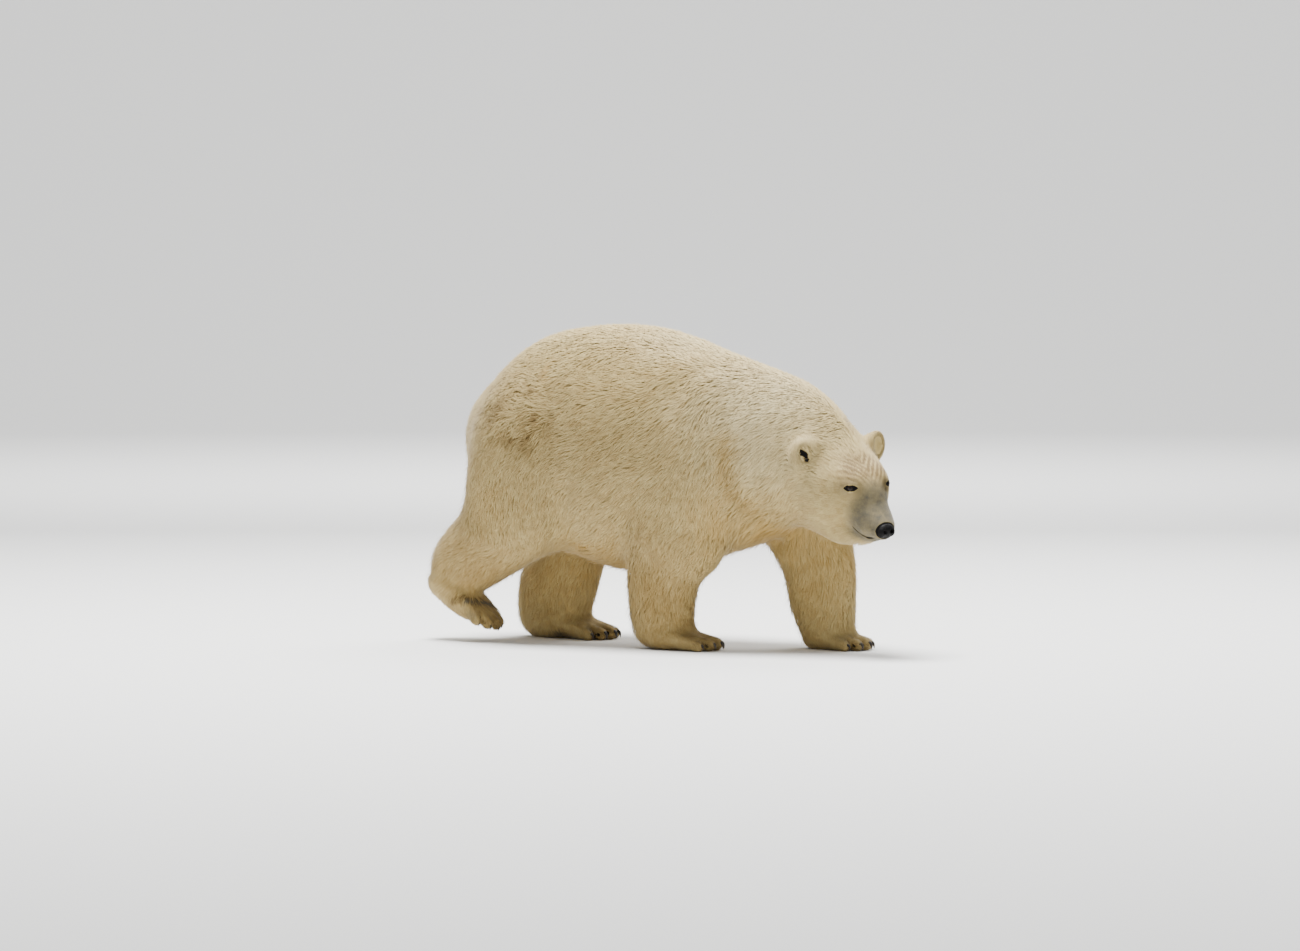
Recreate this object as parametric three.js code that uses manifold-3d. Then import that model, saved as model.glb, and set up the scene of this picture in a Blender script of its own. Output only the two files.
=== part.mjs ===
// A walking polar bear at life size, as a still museum model. Millimetres, +Z up.
// +X is the way the bear walks and +Y its left side; the origin is on the floor under the middle of its box.
//
// The flesh with its coat is one smooth form, a field that is negative inside, blended from tapering limbs.
// Each named part is that form inside its own convex region, so neighbours meet face to face on flat cuts.
import * as THREE from 'three';
import { triTable } from 'three/addons/objects/MarchingCubes.js';
import { mergeVertices } from 'three/addons/utils/BufferGeometryUtils.js';
import Module from 'manifold-3d';

const wasm = await Module();
wasm.setup();

const vec = (x, y, z) => new THREE.Vector3(x, y, z);
const degrees = THREE.MathUtils.degToRad;

// ---------------------------------------------------------------- driving sizes
const GAP = 0.3;                      // between parts that touch
const SOCKET_GAP = 0.4;               // round a claw, the nose or an eye in its socket
const HEAD_SCALE = 1.08;              // head forms are drawn for a head 385 long from ears to nose
// Widths over which neighbouring forms flow into one another.
const FLOW = { neck: 90, swelling: 60, tail: 30, head: 80, leg: 80, knee: 60, ankle: 35 };
const FACE_FLOW = { brow: 40, cheek: 60, throat: 60, jaw: 22, ear: 26, earCup: 8 };
const FOOT_FLOW = { toes: 7, pad: 30 };

// ---------------------------------------------------------------- fields
// Blends two distances over a width k, so that a limb flows into the body.
function blend(a, b, k) {
  const h = Math.max(k - Math.abs(a - b), 0) / k;
  return Math.min(a, b) - h * h * k * 0.25;
}

// Takes form b away from form a with an edge rounded over k.
const carve = (a, b, k) => -blend(-a, b, k);

// Catmull-Rom through numbers: the value at t in 0..1 along the list.
function along(values, t) {
  const n = values.length - 1;
  const s = Math.min(t * n, n - 1e-9);
  const i = Math.floor(s);
  const f = s - i;
  const at = (j) => values[Math.max(0, Math.min(n, j))];
  const [p0, p1, p2, p3] = [at(i - 1), at(i), at(i + 1), at(i + 2)];
  const v0 = (p2 - p0) / 2;
  const v1 = (p3 - p1) / 2;
  return (2 * p1 - 2 * p2 + v0 + v1) * f ** 3 + (-3 * p1 + 3 * p2 - 2 * v0 - v1) * f * f + v0 * f + p1;
}

// A tapering form along a smooth line of stations [x, y, z, wide, fore, aft].
// wide is the half width along the left-right line; fore and aft are the half depths square to it.
// On a line that runs forward fore is up; on one that runs down fore is forward.
function limb(stations, pieces = 5) {
  const count = (stations.length - 1) * pieces;
  const rings = [];
  for (let i = 0; i <= count; i++) {
    rings.push([0, 1, 2, 3, 4, 5].map((c) => along(stations.map((s) => s[c]), i / count)));
  }
  const reach = Math.max(...rings.flatMap((r) => r.slice(3)));
  const box = new THREE.Box3().setFromPoints(rings.map((r) => vec(r[0], r[1], r[2]))).expandByScalar(reach);
  const bones = rings.slice(1).map((end, i) => {
    const start = rings[i];
    const from = vec(start[0], start[1], start[2]);
    const axis = vec(end[0], end[1], end[2]).sub(from);
    const length = axis.length();
    axis.normalize();
    const across = vec(0, 1, 0).addScaledVector(axis, -axis.y).normalize();
    return { from, axis, across, deep: axis.clone().cross(across), length, start, end };
  });
  const form = (x, y, z) => {
    let best = Infinity;
    for (const b of bones) {
      const dx = x - b.from.x;
      const dy = y - b.from.y;
      const dz = z - b.from.z;
      const run = dx * b.axis.x + dy * b.axis.y + dz * b.axis.z;
      const t = Math.max(0, Math.min(1, run / b.length));
      const past = run - t * b.length;
      const s = dx * b.across.x + dy * b.across.y + dz * b.across.z;
      const d = dx * b.deep.x + dy * b.deep.y + dz * b.deep.z;
      const wide = b.start[3] + (b.end[3] - b.start[3]) * t;
      const k = d > 0 ? 4 : 5;
      const depth = b.start[k] + (b.end[k] - b.start[k]) * t;
      const cap = Math.min(wide, depth);
      const k0 = Math.sqrt((s / wide) ** 2 + (d / depth) ** 2 + (past / cap) ** 2);
      const k1 = Math.sqrt((s / wide ** 2) ** 2 + (d / depth ** 2) ** 2 + (past / cap ** 2) ** 2);
      best = Math.min(best, (k0 * (k0 - 1)) / (k1 + 1e-9));
    }
    return best;
  };
  return bounded(form, box);
}

// A swelling: an ellipsoid with three half sizes, pitched (nose down) and turned (left) in degrees.
function swelling(x, y, z, a, b, c, pitch = 0, turn = 0) {
  const pitched = new THREE.Matrix4().makeRotationY(degrees(pitch));
  const r = new THREE.Matrix4().makeRotationZ(degrees(turn)).multiply(pitched).elements;
  const box = new THREE.Box3(vec(x, y, z), vec(x, y, z)).expandByScalar(Math.max(a, b, c));
  const form = (px, py, pz) => {
    const [dx, dy, dz] = [px - x, py - y, pz - z];
    const u = (r[0] * dx + r[1] * dy + r[2] * dz) / a;
    const v = (r[4] * dx + r[5] * dy + r[6] * dz) / b;
    const w = (r[8] * dx + r[9] * dy + r[10] * dz) / c;
    const k0 = Math.sqrt(u * u + v * v + w * w);
    const k1 = Math.sqrt((u / a) ** 2 + (v / b) ** 2 + (w / c) ** 2);
    return (k0 * (k0 - 1)) / (k1 + 1e-9);
  };
  return bounded(form, box);
}

// Far outside its box a form counts as far away, which saves working it out.
const FAR = 130;
function bounded(form, box) {
  const { min, max } = box;
  return (x, y, z) => {
    const away = Math.max(min.x - x, x - max.x, min.y - y, y - max.y, min.z - z, z - max.z);
    return away > FAR ? away : form(x, y, z);
  };
}

// A form drawn in a frame of its own, set in the body by a matrix with one scale.
function placed(form, matrix, box) {
  const scale = matrix.getMaxScaleOnAxis();
  const e = matrix.clone().invert().elements;
  return bounded((x, y, z) => scale * form(
    e[0] * x + e[4] * y + e[8] * z + e[12],
    e[1] * x + e[5] * y + e[9] * z + e[13],
    e[2] * x + e[6] * y + e[10] * z + e[14],
  ), box.clone().applyMatrix4(matrix));
}

const pose = (x, y, z, turn, pitch, roll, scale = 1) => new THREE.Matrix4().makeTranslation(x, y, z)
  .multiply(new THREE.Matrix4().makeRotationZ(degrees(turn)))
  .multiply(new THREE.Matrix4().makeRotationY(degrees(pitch)))
  .multiply(new THREE.Matrix4().makeRotationX(degrees(roll)))
  .multiply(new THREE.Matrix4().makeScale(scale, scale, scale));

// ---------------------------------------------------------------- trunk and neck
const trunk = limb([
  // x,  y,   z, wide,  up, down
  [-615, 0, 870, 190, 170, 210],
  [-545, 0, 825, 260, 305, 290],
  [-430, 0, 795, 310, 440, 375],
  [-270, 0, 780, 335, 492, 420],
  [-80, 0, 775, 350, 508, 474],
  [120, 0, 765, 345, 478, 448],
  [280, 0, 760, 310, 420, 388],
  [400, 0, 755, 270, 350, 354],
  [500, 0, 750, 230, 280, 316],
], 7);
const neck = limb([
  [300, -20, 780, 265, 340, 350],
  [440, -20, 795, 255, 330, 330],
  [570, -30, 795, 225, 305, 285],
  [690, -50, 770, 200, 262, 262],
  [785, -72, 738, 165, 212, 240],
  [855, -88, 705, 128, 155, 195],
], 6);
const withers = [
  swelling(250, -150, 975, 190, 110, 170, 20),
  swelling(330, 150, 960, 190, 110, 170, 20),
];
const tail = limb([
  [-690, 0, 925, 60, 50, 50],
  [-760, 0, 880, 52, 40, 42],
  [-792, 0, 820, 42, 32, 36],
  [-798, 0, 780, 26, 20, 24],
]);
const haunches = [
  swelling(-440, -190, 790, 210, 140, 260, -8),
  swelling(-400, 190, 790, 210, 140, 260, 8),
];

// ---------------------------------------------------------------- head, in a frame of its own
// Its origin is midway between the ears; x runs forward to the nose, y to the left ear, z up.
const headPose = pose(882, -90, 754, -29.5, 26.5, 6, HEAD_SCALE);
const face = limb([
  [-40, 0, -35, 112, 98, 180],
  [50, 0, -40, 126, 116, 195],
  [120, 0, -50, 112, 124, 178],
  [175, 0, -62, 90, 116, 140],
  [225, 0, -75, 76, 80, 105],
  [275, 0, -85, 68, 58, 68],
  [312, 0, -88, 58, 42, 50],
  [332, 0, -90, 47, 34, 42],
], 5);
const brow = swelling(160, 56, 10, 62, 40, 46, 8, -6);
const cheek = swelling(60, 85, -90, 105, 74, 110, 12, 8);
const throat = swelling(30, 0, -190, 150, 100, 84, 8);
const jaw = limb([
  [130, 0, -172, 78, 40, 62],
  [220, 0, -166, 56, 34, 40],
  [270, 0, -152, 42, 22, 26],
  [300, 0, -144, 32, 14, 14],
]);
// One ear in a frame of its own: z runs out to the tip, x is the way its cup faces.
const earUp = vec(-0.34, 0.22, 0.91).normalize();
const earFace = vec(1, 0.2, 0.1).addScaledVector(earUp, -earUp.dot(vec(1, 0.2, 0.1))).normalize();
const earFrame = new THREE.Matrix4().makeBasis(earFace, earUp.clone().cross(earFace), earUp)
  .setPosition(8, 140, 0);
const earShell = swelling(0, 0, 42, 23, 48, 60);
const earCup = swelling(23, 0, 52, 26, 31, 42);
const ear = placed((x, y, z) => carve(earShell(x, y, z), earCup(x, y, z), FACE_FLOW.earCup), earFrame,
  new THREE.Box3(vec(-60, -60, -40), vec(60, 60, 110)));
const headForm = (x, y, z) => {
  const side = Math.abs(y);
  let d = face(x, y, z);
  d = blend(d, brow(x, side, z), FACE_FLOW.brow);
  d = blend(d, cheek(x, side, z), FACE_FLOW.cheek);
  d = blend(d, blend(jaw(x, y, z), throat(x, y, z), FACE_FLOW.throat), FACE_FLOW.jaw);
  return blend(d, ear(x, side, z), FACE_FLOW.ear);
};
const headBox = new THREE.Box3(vec(-160, -180, -290), vec(400, 180, 120));
const head = placed(headForm, headPose, headBox);

// ---------------------------------------------------------------- legs
const nearHind = [
  limb([
    // x,    y,   z, wide, fore, aft
    [-430, -120, 900, 150, 200, 200],
    [-470, -180, 760, 165, 230, 218],
    [-475, -195, 620, 155, 215, 248],
    [-460, -195, 500, 130, 170, 272],
  ]),
  limb([
    [-400, -192, 530, 120, 150, 150],
    [-540, -184, 460, 118, 164, 165],
    [-680, -174, 375, 108, 156, 156],
    [-785, -168, 315, 95, 150, 122],
    [-818, -166, 258, 85, 124, 80],
  ]),
];
const farHind = [
  limb([
    [-430, 120, 900, 150, 200, 200],
    [-440, 180, 760, 165, 230, 220],
    [-420, 190, 600, 150, 200, 200],
    [-425, 175, 450, 125, 155, 160],
  ]),
  limb([
    [-435, 170, 450, 122, 155, 160],
    [-470, 160, 310, 112, 160, 172],
    [-500, 152, 190, 105, 160, 176],
    [-500, 150, 90, 100, 130, 176],
  ]),
];
const nearFore = [
  limb([
    [300, -130, 950, 100, 130, 150],
    [340, -190, 800, 130, 190, 170],
    [290, -205, 620, 138, 200, 180],
    [210, -198, 450, 124, 212, 190],
  ]),
  limb([
    [200, -192, 450, 120, 210, 182],
    [160, -178, 320, 108, 162, 158],
    [142, -166, 190, 98, 140, 140],
    [140, -158, 90, 95, 132, 122],
  ]),
];
const farFore = [
  limb([
    [330, 130, 950, 100, 130, 150],
    [420, 185, 790, 130, 180, 175],
    [530, 190, 610, 132, 175, 180],
    [630, 175, 450, 118, 168, 158],
  ]),
  limb([
    [630, 172, 450, 116, 168, 148],
    [680, 162, 310, 104, 150, 150],
    [700, 155, 190, 97, 133, 144],
    [708, 150, 90, 95, 122, 104],
  ]),
];

// ---------------------------------------------------------------- feet, in frames of their own
// The origin is on the floor under the ankle; x runs forward, y to the left.
const TOE_Y = [-82, -44, 0, 44, 82];
const TOE_X = [98, 130, 142, 130, 98];
const TOE_RADIUS = [21, 25, 27, 25, 21];
const TOE_SINK = 2;                   // how far a toe's round underside is cut off flat by the floor
// `heel` is how far the heel reaches back, `sag` how far a lifted sole bulges below the toes.
const foot = (heel, sag = 0) => {
  const pad = limb([
    [-heel, 0, 46, 74, 34, 50 + sag * 0.7],
    [-heel * 0.4, 0, 52, 92, 44, 56 + sag],
    [20, 0, 46, 97, 36, 50 + sag * 0.7],
    [75, 0, 36, 86, 20, 40],
  ]);
  const toes = TOE_Y.map((y, i) => {
    const radius = TOE_RADIUS[i];
    const knuckle = radius * 0.82;
    return limb([
      [40, y * 0.8, radius * 1.4, knuckle, radius * 0.67, radius * 0.9],
      [TOE_X[i] - 30, y * 0.95, radius * 1.33, knuckle, knuckle, knuckle],
      [TOE_X[i], y, radius - TOE_SINK, radius * 0.9, radius, radius],
    ], 3);
  });
  return (x, y, z) => {
    let d = toes[0](x, y, z);
    for (const toe of toes.slice(1)) d = blend(d, toe(x, y, z), FOOT_FLOW.toes);
    return blend(pad(x, y, z), d, FOOT_FLOW.pad);
  };
};
const footBox = new THREE.Box3(vec(-240, -130, -60), vec(190, 130, 120));
const footPoses = [
  pose(-754, -166, 124, 0, 31, 0),
  pose(-405, 150, 0, -6, 0, 0, 1.06),
  pose(228, -156, 0, 6, 0, 0),
  pose(744, 150, 0, -4, 0, 0),
];
const feet = [foot(137, 30), foot(162), foot(70), foot(64)]
  .map((form, i) => placed(form, footPoses[i], footBox));

const field = (x, y, z) => {
  let d = blend(trunk(x, y, z), neck(x, y, z), FLOW.neck);
  for (const swell of [...withers, ...haunches]) d = blend(d, swell(x, y, z), FLOW.swelling);
  d = blend(d, tail(x, y, z), FLOW.tail);
  d = blend(d, head(x, y, z), FLOW.head);
  [nearHind, farHind, nearFore, farFore].forEach(([upper, lower], i) => {
    const leg = blend(upper(x, y, z), lower(x, y, z), FLOW.knee);
    d = blend(d, blend(leg, feet[i](x, y, z), FLOW.ankle), FLOW.leg);
  });
  return d;
};

// ---------------------------------------------------------------- field to mesh
// The edges of a grid cell as pairs of its corners; a corner is numbered x + 2y + 4z.
const CELL_EDGES = [
  [0, 1], [1, 3], [2, 3], [0, 2], [4, 5], [5, 7], [6, 7], [4, 6], [0, 4], [1, 5], [3, 7], [2, 6],
];
const TABLE_BIT = [1, 2, 8, 4, 16, 32, 128, 64];
// For a grid edge along x, y or z: its number in the four cells around it, taken in turn.
const EDGE_IN_CELLS = [[6, 4, 0, 2], [5, 1, 3, 7], [10, 11, 8, 9]];

// The separate patches of surface in a cell, each a list of the edges it crosses.
const patches = Array.from({ length: 256 }, (_, kind) => {
  const groups = [];
  for (let i = kind * 16; triTable[i] !== -1; i += 3) {
    const edges = new Set([triTable[i], triTable[i + 1], triTable[i + 2]]);
    for (const g of groups.filter((group) => [...edges].some((e) => group.has(e)))) {
      g.forEach((e) => edges.add(e));
      groups.splice(groups.indexOf(g), 1);
    }
    groups.push(edges);
  }
  return groups.map((g) => [...g]);
});

function meshOf(positions, faces) {
  const geometry = new THREE.BufferGeometry();
  geometry.setAttribute('position', new THREE.Float32BufferAttribute(positions, 3));
  geometry.setIndex(faces);
  return geometry;
}

// One point for each patch of surface in each cell, settled onto the surface, and a quad for
// each grid edge that the surface crosses. `cell` is the grid's spacing along x, y and z.
function surface(form, box, cell) {
  const size = box.getSize(vec(0, 0, 0));
  const n = [0, 1, 2].map((c) => Math.ceil(size.getComponent(c) / cell.getComponent(c)) + 1);
  const small = Math.min(cell.x, cell.y, cell.z);
  const step = [1, n[0], n[0] * n[1]];
  const values = new Float32Array(n[0] * n[1] * n[2]);
  let at = 0;
  for (let k = 0; k < n[2]; k++)
    for (let j = 0; j < n[1]; j++)
      for (let i = 0; i < n[0]; i++) {
        const rim = i === 0 || j === 0 || k === 0 || i === n[0] - 1 || j === n[1] - 1 || k === n[2] - 1;
        const v = form(box.min.x + i * cell.x, box.min.y + j * cell.y, box.min.z + k * cell.z);
        values[at++] = rim ? Math.max(v, small * 0.5) : v;
      }
  const corners = [0, 1, 2, 3, 4, 5, 6, 7].map((c) => [c & 1, (c >> 1) & 1, c >> 2]);
  const offsets = corners.map(([a, b, c]) => a * step[0] + b * step[1] + c * step[2]);
  const positions = [];
  const pointAt = new Map();
  for (let k = 0; k < n[2] - 1; k++)
    for (let j = 0; j < n[1] - 1; j++)
      for (let i = 0; i < n[0] - 1; i++) {
        const here = i + j * step[1] + k * step[2];
        const v = offsets.map((o) => values[here + o]);
        const kind = v.reduce((sum, d, c) => sum + (d < 0 ? TABLE_BIT[c] : 0), 0);
        if (kind === 0 || kind === 255) continue;
        const points = new Array(12).fill(-1);
        for (const patch of patches[kind]) {
          const p = vec(0, 0, 0);
          for (const edge of patch) {
            const [a, b] = CELL_EDGES[edge];
            const t = v[a] / (v[a] - v[b]);
            p.x += corners[a][0] + (corners[b][0] - corners[a][0]) * t;
            p.y += corners[a][1] + (corners[b][1] - corners[a][1]) * t;
            p.z += corners[a][2] + (corners[b][2] - corners[a][2]) * t;
            points[edge] = positions.length / 3;
          }
          p.divideScalar(patch.length).add(vec(i, j, k)).multiply(cell).add(box.min);
          settle(form, p, small * 0.45);
          positions.push(p.x, p.y, p.z);
        }
        pointAt.set(here, points);
      }
  const faces = [];
  for (let k = 0; k < n[2] - 1; k++)
    for (let j = 0; j < n[1] - 1; j++)
      for (let i = 0; i < n[0] - 1; i++) {
        const here = i + j * step[1] + k * step[2];
        for (let d = 0; d < 3; d++) {
          if (values[here] < 0 === values[here + step[d]] < 0) continue;
          const [u, w] = [step[(d + 1) % 3], step[(d + 2) % 3]];
          const ring = [here - u - w, here - w, here, here - u]
            .map((c, m) => pointAt.get(c)[EDGE_IN_CELLS[d][m]]);
          if (values[here] > 0) ring.reverse();
          faces.push(ring[0], ring[1], ring[2], ring[0], ring[2], ring[3]);
        }
      }
  return meshOf(positions, faces);
}

// Moves a point along the form's slope onto its surface, by no more than `most`.
const LEAST_SLOPE = 0.2;              // squared; a flatter slope would throw the point far off
function settle(form, p, most) {
  const start = p.clone();
  const h = 0.5;
  for (let turn = 0; turn < 3; turn++) {
    const value = form(p.x, p.y, p.z);
    const slope = vec(
      form(p.x + h, p.y, p.z) - form(p.x - h, p.y, p.z),
      form(p.x, p.y + h, p.z) - form(p.x, p.y - h, p.z),
      form(p.x, p.y, p.z + h) - form(p.x, p.y, p.z - h),
    ).divideScalar(2 * h);
    p.addScaledVector(slope, -value / Math.max(slope.lengthSq(), LEAST_SLOPE));
  }
  const moved = p.clone().sub(start);
  if (moved.length() > most) p.copy(start).addScaledVector(moved.normalize(), most);
}

// Takes edges out of a closed mesh until about `target` triangles are left, where the surface is
// flattest first. The point that an edge shrinks to is settled onto the form.
const THIN = {
  passes: 30,
  share: 0.4,                         // of the edges that one pass may take, the flattest first
  lengthCost: 0.002,                  // how much a long edge counts against a flat one
  leastHeight: 0.12,                  // of a triangle over its longest side
  mostTurn: 0.5,                      // cosine of how far a triangle may turn
};
function thin(geometry, target, form) {
  const points = [];
  const { position } = geometry.attributes;
  for (let i = 0; i < position.count; i++) points.push(vec(0, 0, 0).fromBufferAttribute(position, i));
  let faces = [];
  const corners = geometry.index.array;
  for (let i = 0; i < corners.length; i += 3) faces.push(Array.from(corners.slice(i, i + 3)));
  const [ab, ac] = [vec(0, 0, 0), vec(0, 0, 0)];
  const facing = (a, b, c) => ab.subVectors(b, a).clone().cross(ac.subVectors(c, a));
  for (let pass = 0; pass < THIN.passes && faces.length > target; pass++) {
    const around = points.map(() => []);
    const planes = faces.map((face, f) => {
      face.forEach((v) => around[v].push(f));
      const normal = facing(...face.map((v) => points[v]));
      const area = normal.length();
      normal.divideScalar(area + 1e-12);
      return { normal, offset: normal.dot(points[face[0]]), area };
    });
    const edges = [];
    for (const face of faces)
      face.forEach((a, i) => {
        const b = face[(i + 1) % 3];
        if (a > b) return;
        const middle = points[a].clone().add(points[b]).multiplyScalar(0.5);
        let cost = points[a].distanceToSquared(points[b]) * THIN.lengthCost;
        for (const f of [...around[a], ...around[b]]) {
          const off = planes[f].normal.dot(middle) - planes[f].offset;
          cost += off * off;
        }
        edges.push([cost, a, b, middle]);
      });
    edges.sort((e, f) => e[0] - f[0]);
    const still = new Uint8Array(points.length);
    const gone = new Set();
    let left = faces.length;
    for (const [, a, b, middle] of edges.slice(0, Math.ceil(edges.length * THIN.share))) {
      if (left <= target) break;
      if (still[a] || still[b]) continue;
      const nextTo = (v) => new Set(around[v].flatMap((f) => faces[f]));
      const [nearA, nearB] = [nextTo(a), nextTo(b)];
      if ([...nearA].filter((v) => nearB.has(v)).length !== 4) continue;
      settle(form, middle, points[a].distanceTo(points[b]) * 0.4);
      const ok = [...around[a], ...around[b]].every((f) => {
        const face = faces[f];
        if (face.includes(a) && face.includes(b)) return true;
        const moved = face.map((v) => (v === a || v === b ? middle : points[v]));
        const normal = facing(...moved);
        const longest = Math.max(...moved.map((q, i) => q.distanceToSquared(moved[(i + 1) % 3])));
        const tall = normal.length() > longest * THIN.leastHeight;
        return tall && normal.normalize().dot(planes[f].normal) > THIN.mostTurn;
      });
      if (!ok) continue;
      points[a].copy(middle);
      for (const f of around[b]) {
        if (faces[f].includes(a)) gone.add(f);
        faces[f] = faces[f].map((v) => (v === b ? a : v));
      }
      for (const v of [...nearA, ...nearB]) still[v] = 1;
      left -= 2;
    }
    if (gone.size === 0) break;
    faces = faces.filter((_, f) => !gone.has(f));
  }
  const used = new Map();
  for (const face of faces) for (const v of face) if (!used.has(v)) used.set(v, used.size);
  const positions = [...used.keys()].flatMap((v) => points[v].toArray());
  return meshOf(positions, faces.flat().map((v) => used.get(v)));
}

// ---------------------------------------------------------------- parts
const bear = new THREE.Group();
const FINISH = {
  coat: { color: 0xd8cba8, roughness: 0.9 },
  claw: { color: 0x2b2723, roughness: 0.45 },
  nose: { color: 0x1a1816, roughness: 0.5 },
  eye: { color: 0x20140c, roughness: 0.08 },
};
const CENTRE = vec(132, 0, 0);        // middle of the bear's box on the floor, taken off every part
const SAME = 1e-4;                    // points nearer than this are one

// A copy that holds only places, each of them once.
function merged(geometry) {
  const bare = geometry.clone();
  bare.deleteAttribute('normal');
  bare.deleteAttribute('uv');
  return mergeVertices(bare, SAME);
}

function solid(geometry) {
  const { attributes, index } = merged(geometry);
  return new wasm.Manifold(new wasm.Mesh({
    numProp: 3,
    vertProperties: Float32Array.from(attributes.position.array),
    triVerts: Uint32Array.from(index.array),
  }));
}

// The largest closed surface of a solid, as a geometry.
function largest(shape) {
  const pieces = shape.decompose();
  pieces.sort((a, b) => b.volume() - a.volume());
  const mesh = pieces[0].getMesh();
  return meshOf(mesh.vertProperties, Array.from(mesh.triVerts));
}

// A copy with every point moved out along its normal.
function grown(geometry, by) {
  const copy = merged(geometry);
  copy.computeVertexNormals();
  const { position, normal } = copy.attributes;
  for (let i = 0; i < position.count; i++) {
    const [p, n] = [position, normal].map((attribute) => vec(0, 0, 0).fromBufferAttribute(attribute, i));
    p.addScaledVector(n, by);
    position.setXYZ(i, p.x, p.y, p.z);
  }
  return copy;
}

function addPart(name, geometry, finish) {
  const centred = geometry.translate(-CENTRE.x, -CENTRE.y, -CENTRE.z);
  const mesh = new THREE.Mesh(centred, new THREE.MeshStandardMaterial({ ...finish, metalness: 0 }));
  mesh.name = name;
  bear.add(mesh);
}

// A block between two corners, in the frame of a matrix, with its sides moved out by `by`.
function block(region, by = 0) {
  const [x0, x1, y0, y1, z0, z1] = region.span;
  const geometry = new THREE.BoxGeometry(x1 - x0 + 2 * by, y1 - y0 + 2 * by, z1 - z0 + 2 * by);
  geometry.translate((x0 + x1) / 2, (y0 + y1) / 2, (z0 + z1) / 2);
  if (!region.frame) return geometry;
  if (region.frame.determinant() < 0) geometry.index.array.reverse();
  return geometry.applyMatrix4(region.frame);
}

// Where each named part of the flesh lies. What one region takes, the ones after it leave out.
const earFrames = [1, -1].map((s) => {
  const m = new THREE.Matrix4().makeScale(1, s, 1).multiply(earFrame);
  return headPose.clone().multiply(m);
});
const OUT = 450;                      // past the widest part, to one side
const PAW_CELL = [15, 9, 13];
const EAR_SPAN = [-30, 36, -62, 62, 24, 130];
const LIFTED_SPAN = [-260, 210, -160, 160, -60, 84];
const neckPose = pose(440, 0, 800, -6, 12, 0);
// `cell` is the spacing of the grid that finds the surface, `keep` the triangles left after thinning.
const regions = [
  { name: 'ear_left', frame: earFrames[0], span: EAR_SPAN, cell: 8, keep: 700 },
  { name: 'ear_right', frame: earFrames[1], span: EAR_SPAN, cell: 8, keep: 700 },
  { name: 'muzzle', frame: headPose, span: [240, 420, -110, 110, -230, 60], cell: 8.5, keep: 1300 },
  { name: 'head', frame: headPose, span: [-72, 240 - GAP, -215, 215, -275, 160], cell: 15, keep: 2000 },
  { name: 'paw_hind_right', frame: footPoses[0], span: LIFTED_SPAN, cell: PAW_CELL, keep: 1150 },
  { name: 'paw_hind_left', span: [-720, -150, 30, OUT, 0, 94], cell: PAW_CELL, keep: 1000 },
  { name: 'paw_fore_right', span: [-150, 540, -OUT, -20, 0, 90], cell: PAW_CELL, keep: 1000 },
  { name: 'paw_fore_left', span: [430, 1000, 20, OUT, 0, 90], cell: PAW_CELL, keep: 1000 },
  { name: 'lower_leg_hind_right', span: [-1000, -545, -OUT, -45, 120, 560], cell: 28, keep: 420 },
  { name: 'lower_leg_hind_left', span: [-720, -180, 20, OUT, 94 + GAP, 330], cell: 28, keep: 340 },
  { name: 'lower_leg_fore_right', span: [-150, 540, -OUT, -20, 90 + GAP, 316], cell: 28, keep: 340 },
  { name: 'lower_leg_fore_left', span: [430, 1000, 20, OUT, 90 + GAP, 395], cell: 28, keep: 360 },
  { name: 'upper_leg_hind_right', span: [-545 + GAP, -225, -OUT, -45, 280, 640], cell: 36, keep: 300 },
  { name: 'upper_leg_hind_left', span: [-720, -180, 45, OUT, 330 + GAP, 640], cell: 36, keep: 300 },
  { name: 'upper_leg_fore_right', span: [-45, 520, -OUT, -70, 316 + GAP, 680], cell: 36, keep: 320 },
  { name: 'upper_leg_fore_left', span: [300, 1000, 50, OUT, 395 + GAP, 640], cell: 36, keep: 320 },
  { name: 'tail', span: [-900, -742, -75, 75, 730, 900], cell: 16, keep: 200 },
  { name: 'neck', frame: neckPose, span: [0, 700, -OUT, OUT, -500, 500], cell: 40, keep: 620 },
  { name: 'torso', span: [-1000, 1000, -OUT, OUT, 200, 1400], cell: 46, keep: 1700 },
];
const bearBox = new THREE.Box3(vec(-960, -400, -40), vec(1230, 400, 1330));

const flesh = new Map();
const taken = [];
for (const region of regions) {
  const cut = block(region);
  const cell = Array.isArray(region.cell) ? vec(...region.cell) : vec(1, 1, 1).multiplyScalar(region.cell);
  const around = new THREE.Box3().setFromBufferAttribute(cut.attributes.position).intersect(bearBox);
  const whole = surface(field, around.expandByVector(cell.clone().multiplyScalar(2)), cell);
  let shape = solid(thin(whole, region.keep, field)).intersect(solid(cut));
  for (const other of taken) shape = shape.subtract(other);
  flesh.set(region.name, shape);
  taken.push(solid(block(region, GAP)));
}

// ---------------------------------------------------------------- claws, nose, eyes and mouth
// A closed tapering horn along a curve: rings of `sides` points, each with half sizes across and up.
function horn(curve, rings, scale = 1, sides = 6) {
  const positions = [];
  const faces = [];
  rings.forEach((ring, r) => {
    const [wide, high] = ring.map((half) => half * scale);
    const t = r / (rings.length - 1);
    const centre = curve.getPoint(t);
    const across = vec(0, 1, 0).addScaledVector(curve.getTangent(t), -curve.getTangent(t).y).normalize();
    const up = curve.getTangent(t).cross(across);
    for (let i = 0; i < sides; i++) {
      const turn = ((i + 0.5) / sides) * 2 * Math.PI;
      positions.push(...centre.clone().addScaledVector(across, Math.cos(turn) * wide)
        .addScaledVector(up, Math.sin(turn) * high).toArray());
      if (r === 0) continue;
      const [p, q] = [(r - 1) * sides + i, (r - 1) * sides + ((i + 1) % sides)];
      faces.push(p, q, q + sides, p, q + sides, p + sides);
    }
  });
  const last = (rings.length - 1) * sides;
  for (let i = 1; i < sides - 1; i++) faces.push(0, i + 1, i, last, last + i, last + i + 1);
  return meshOf(positions, faces);
}

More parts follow.
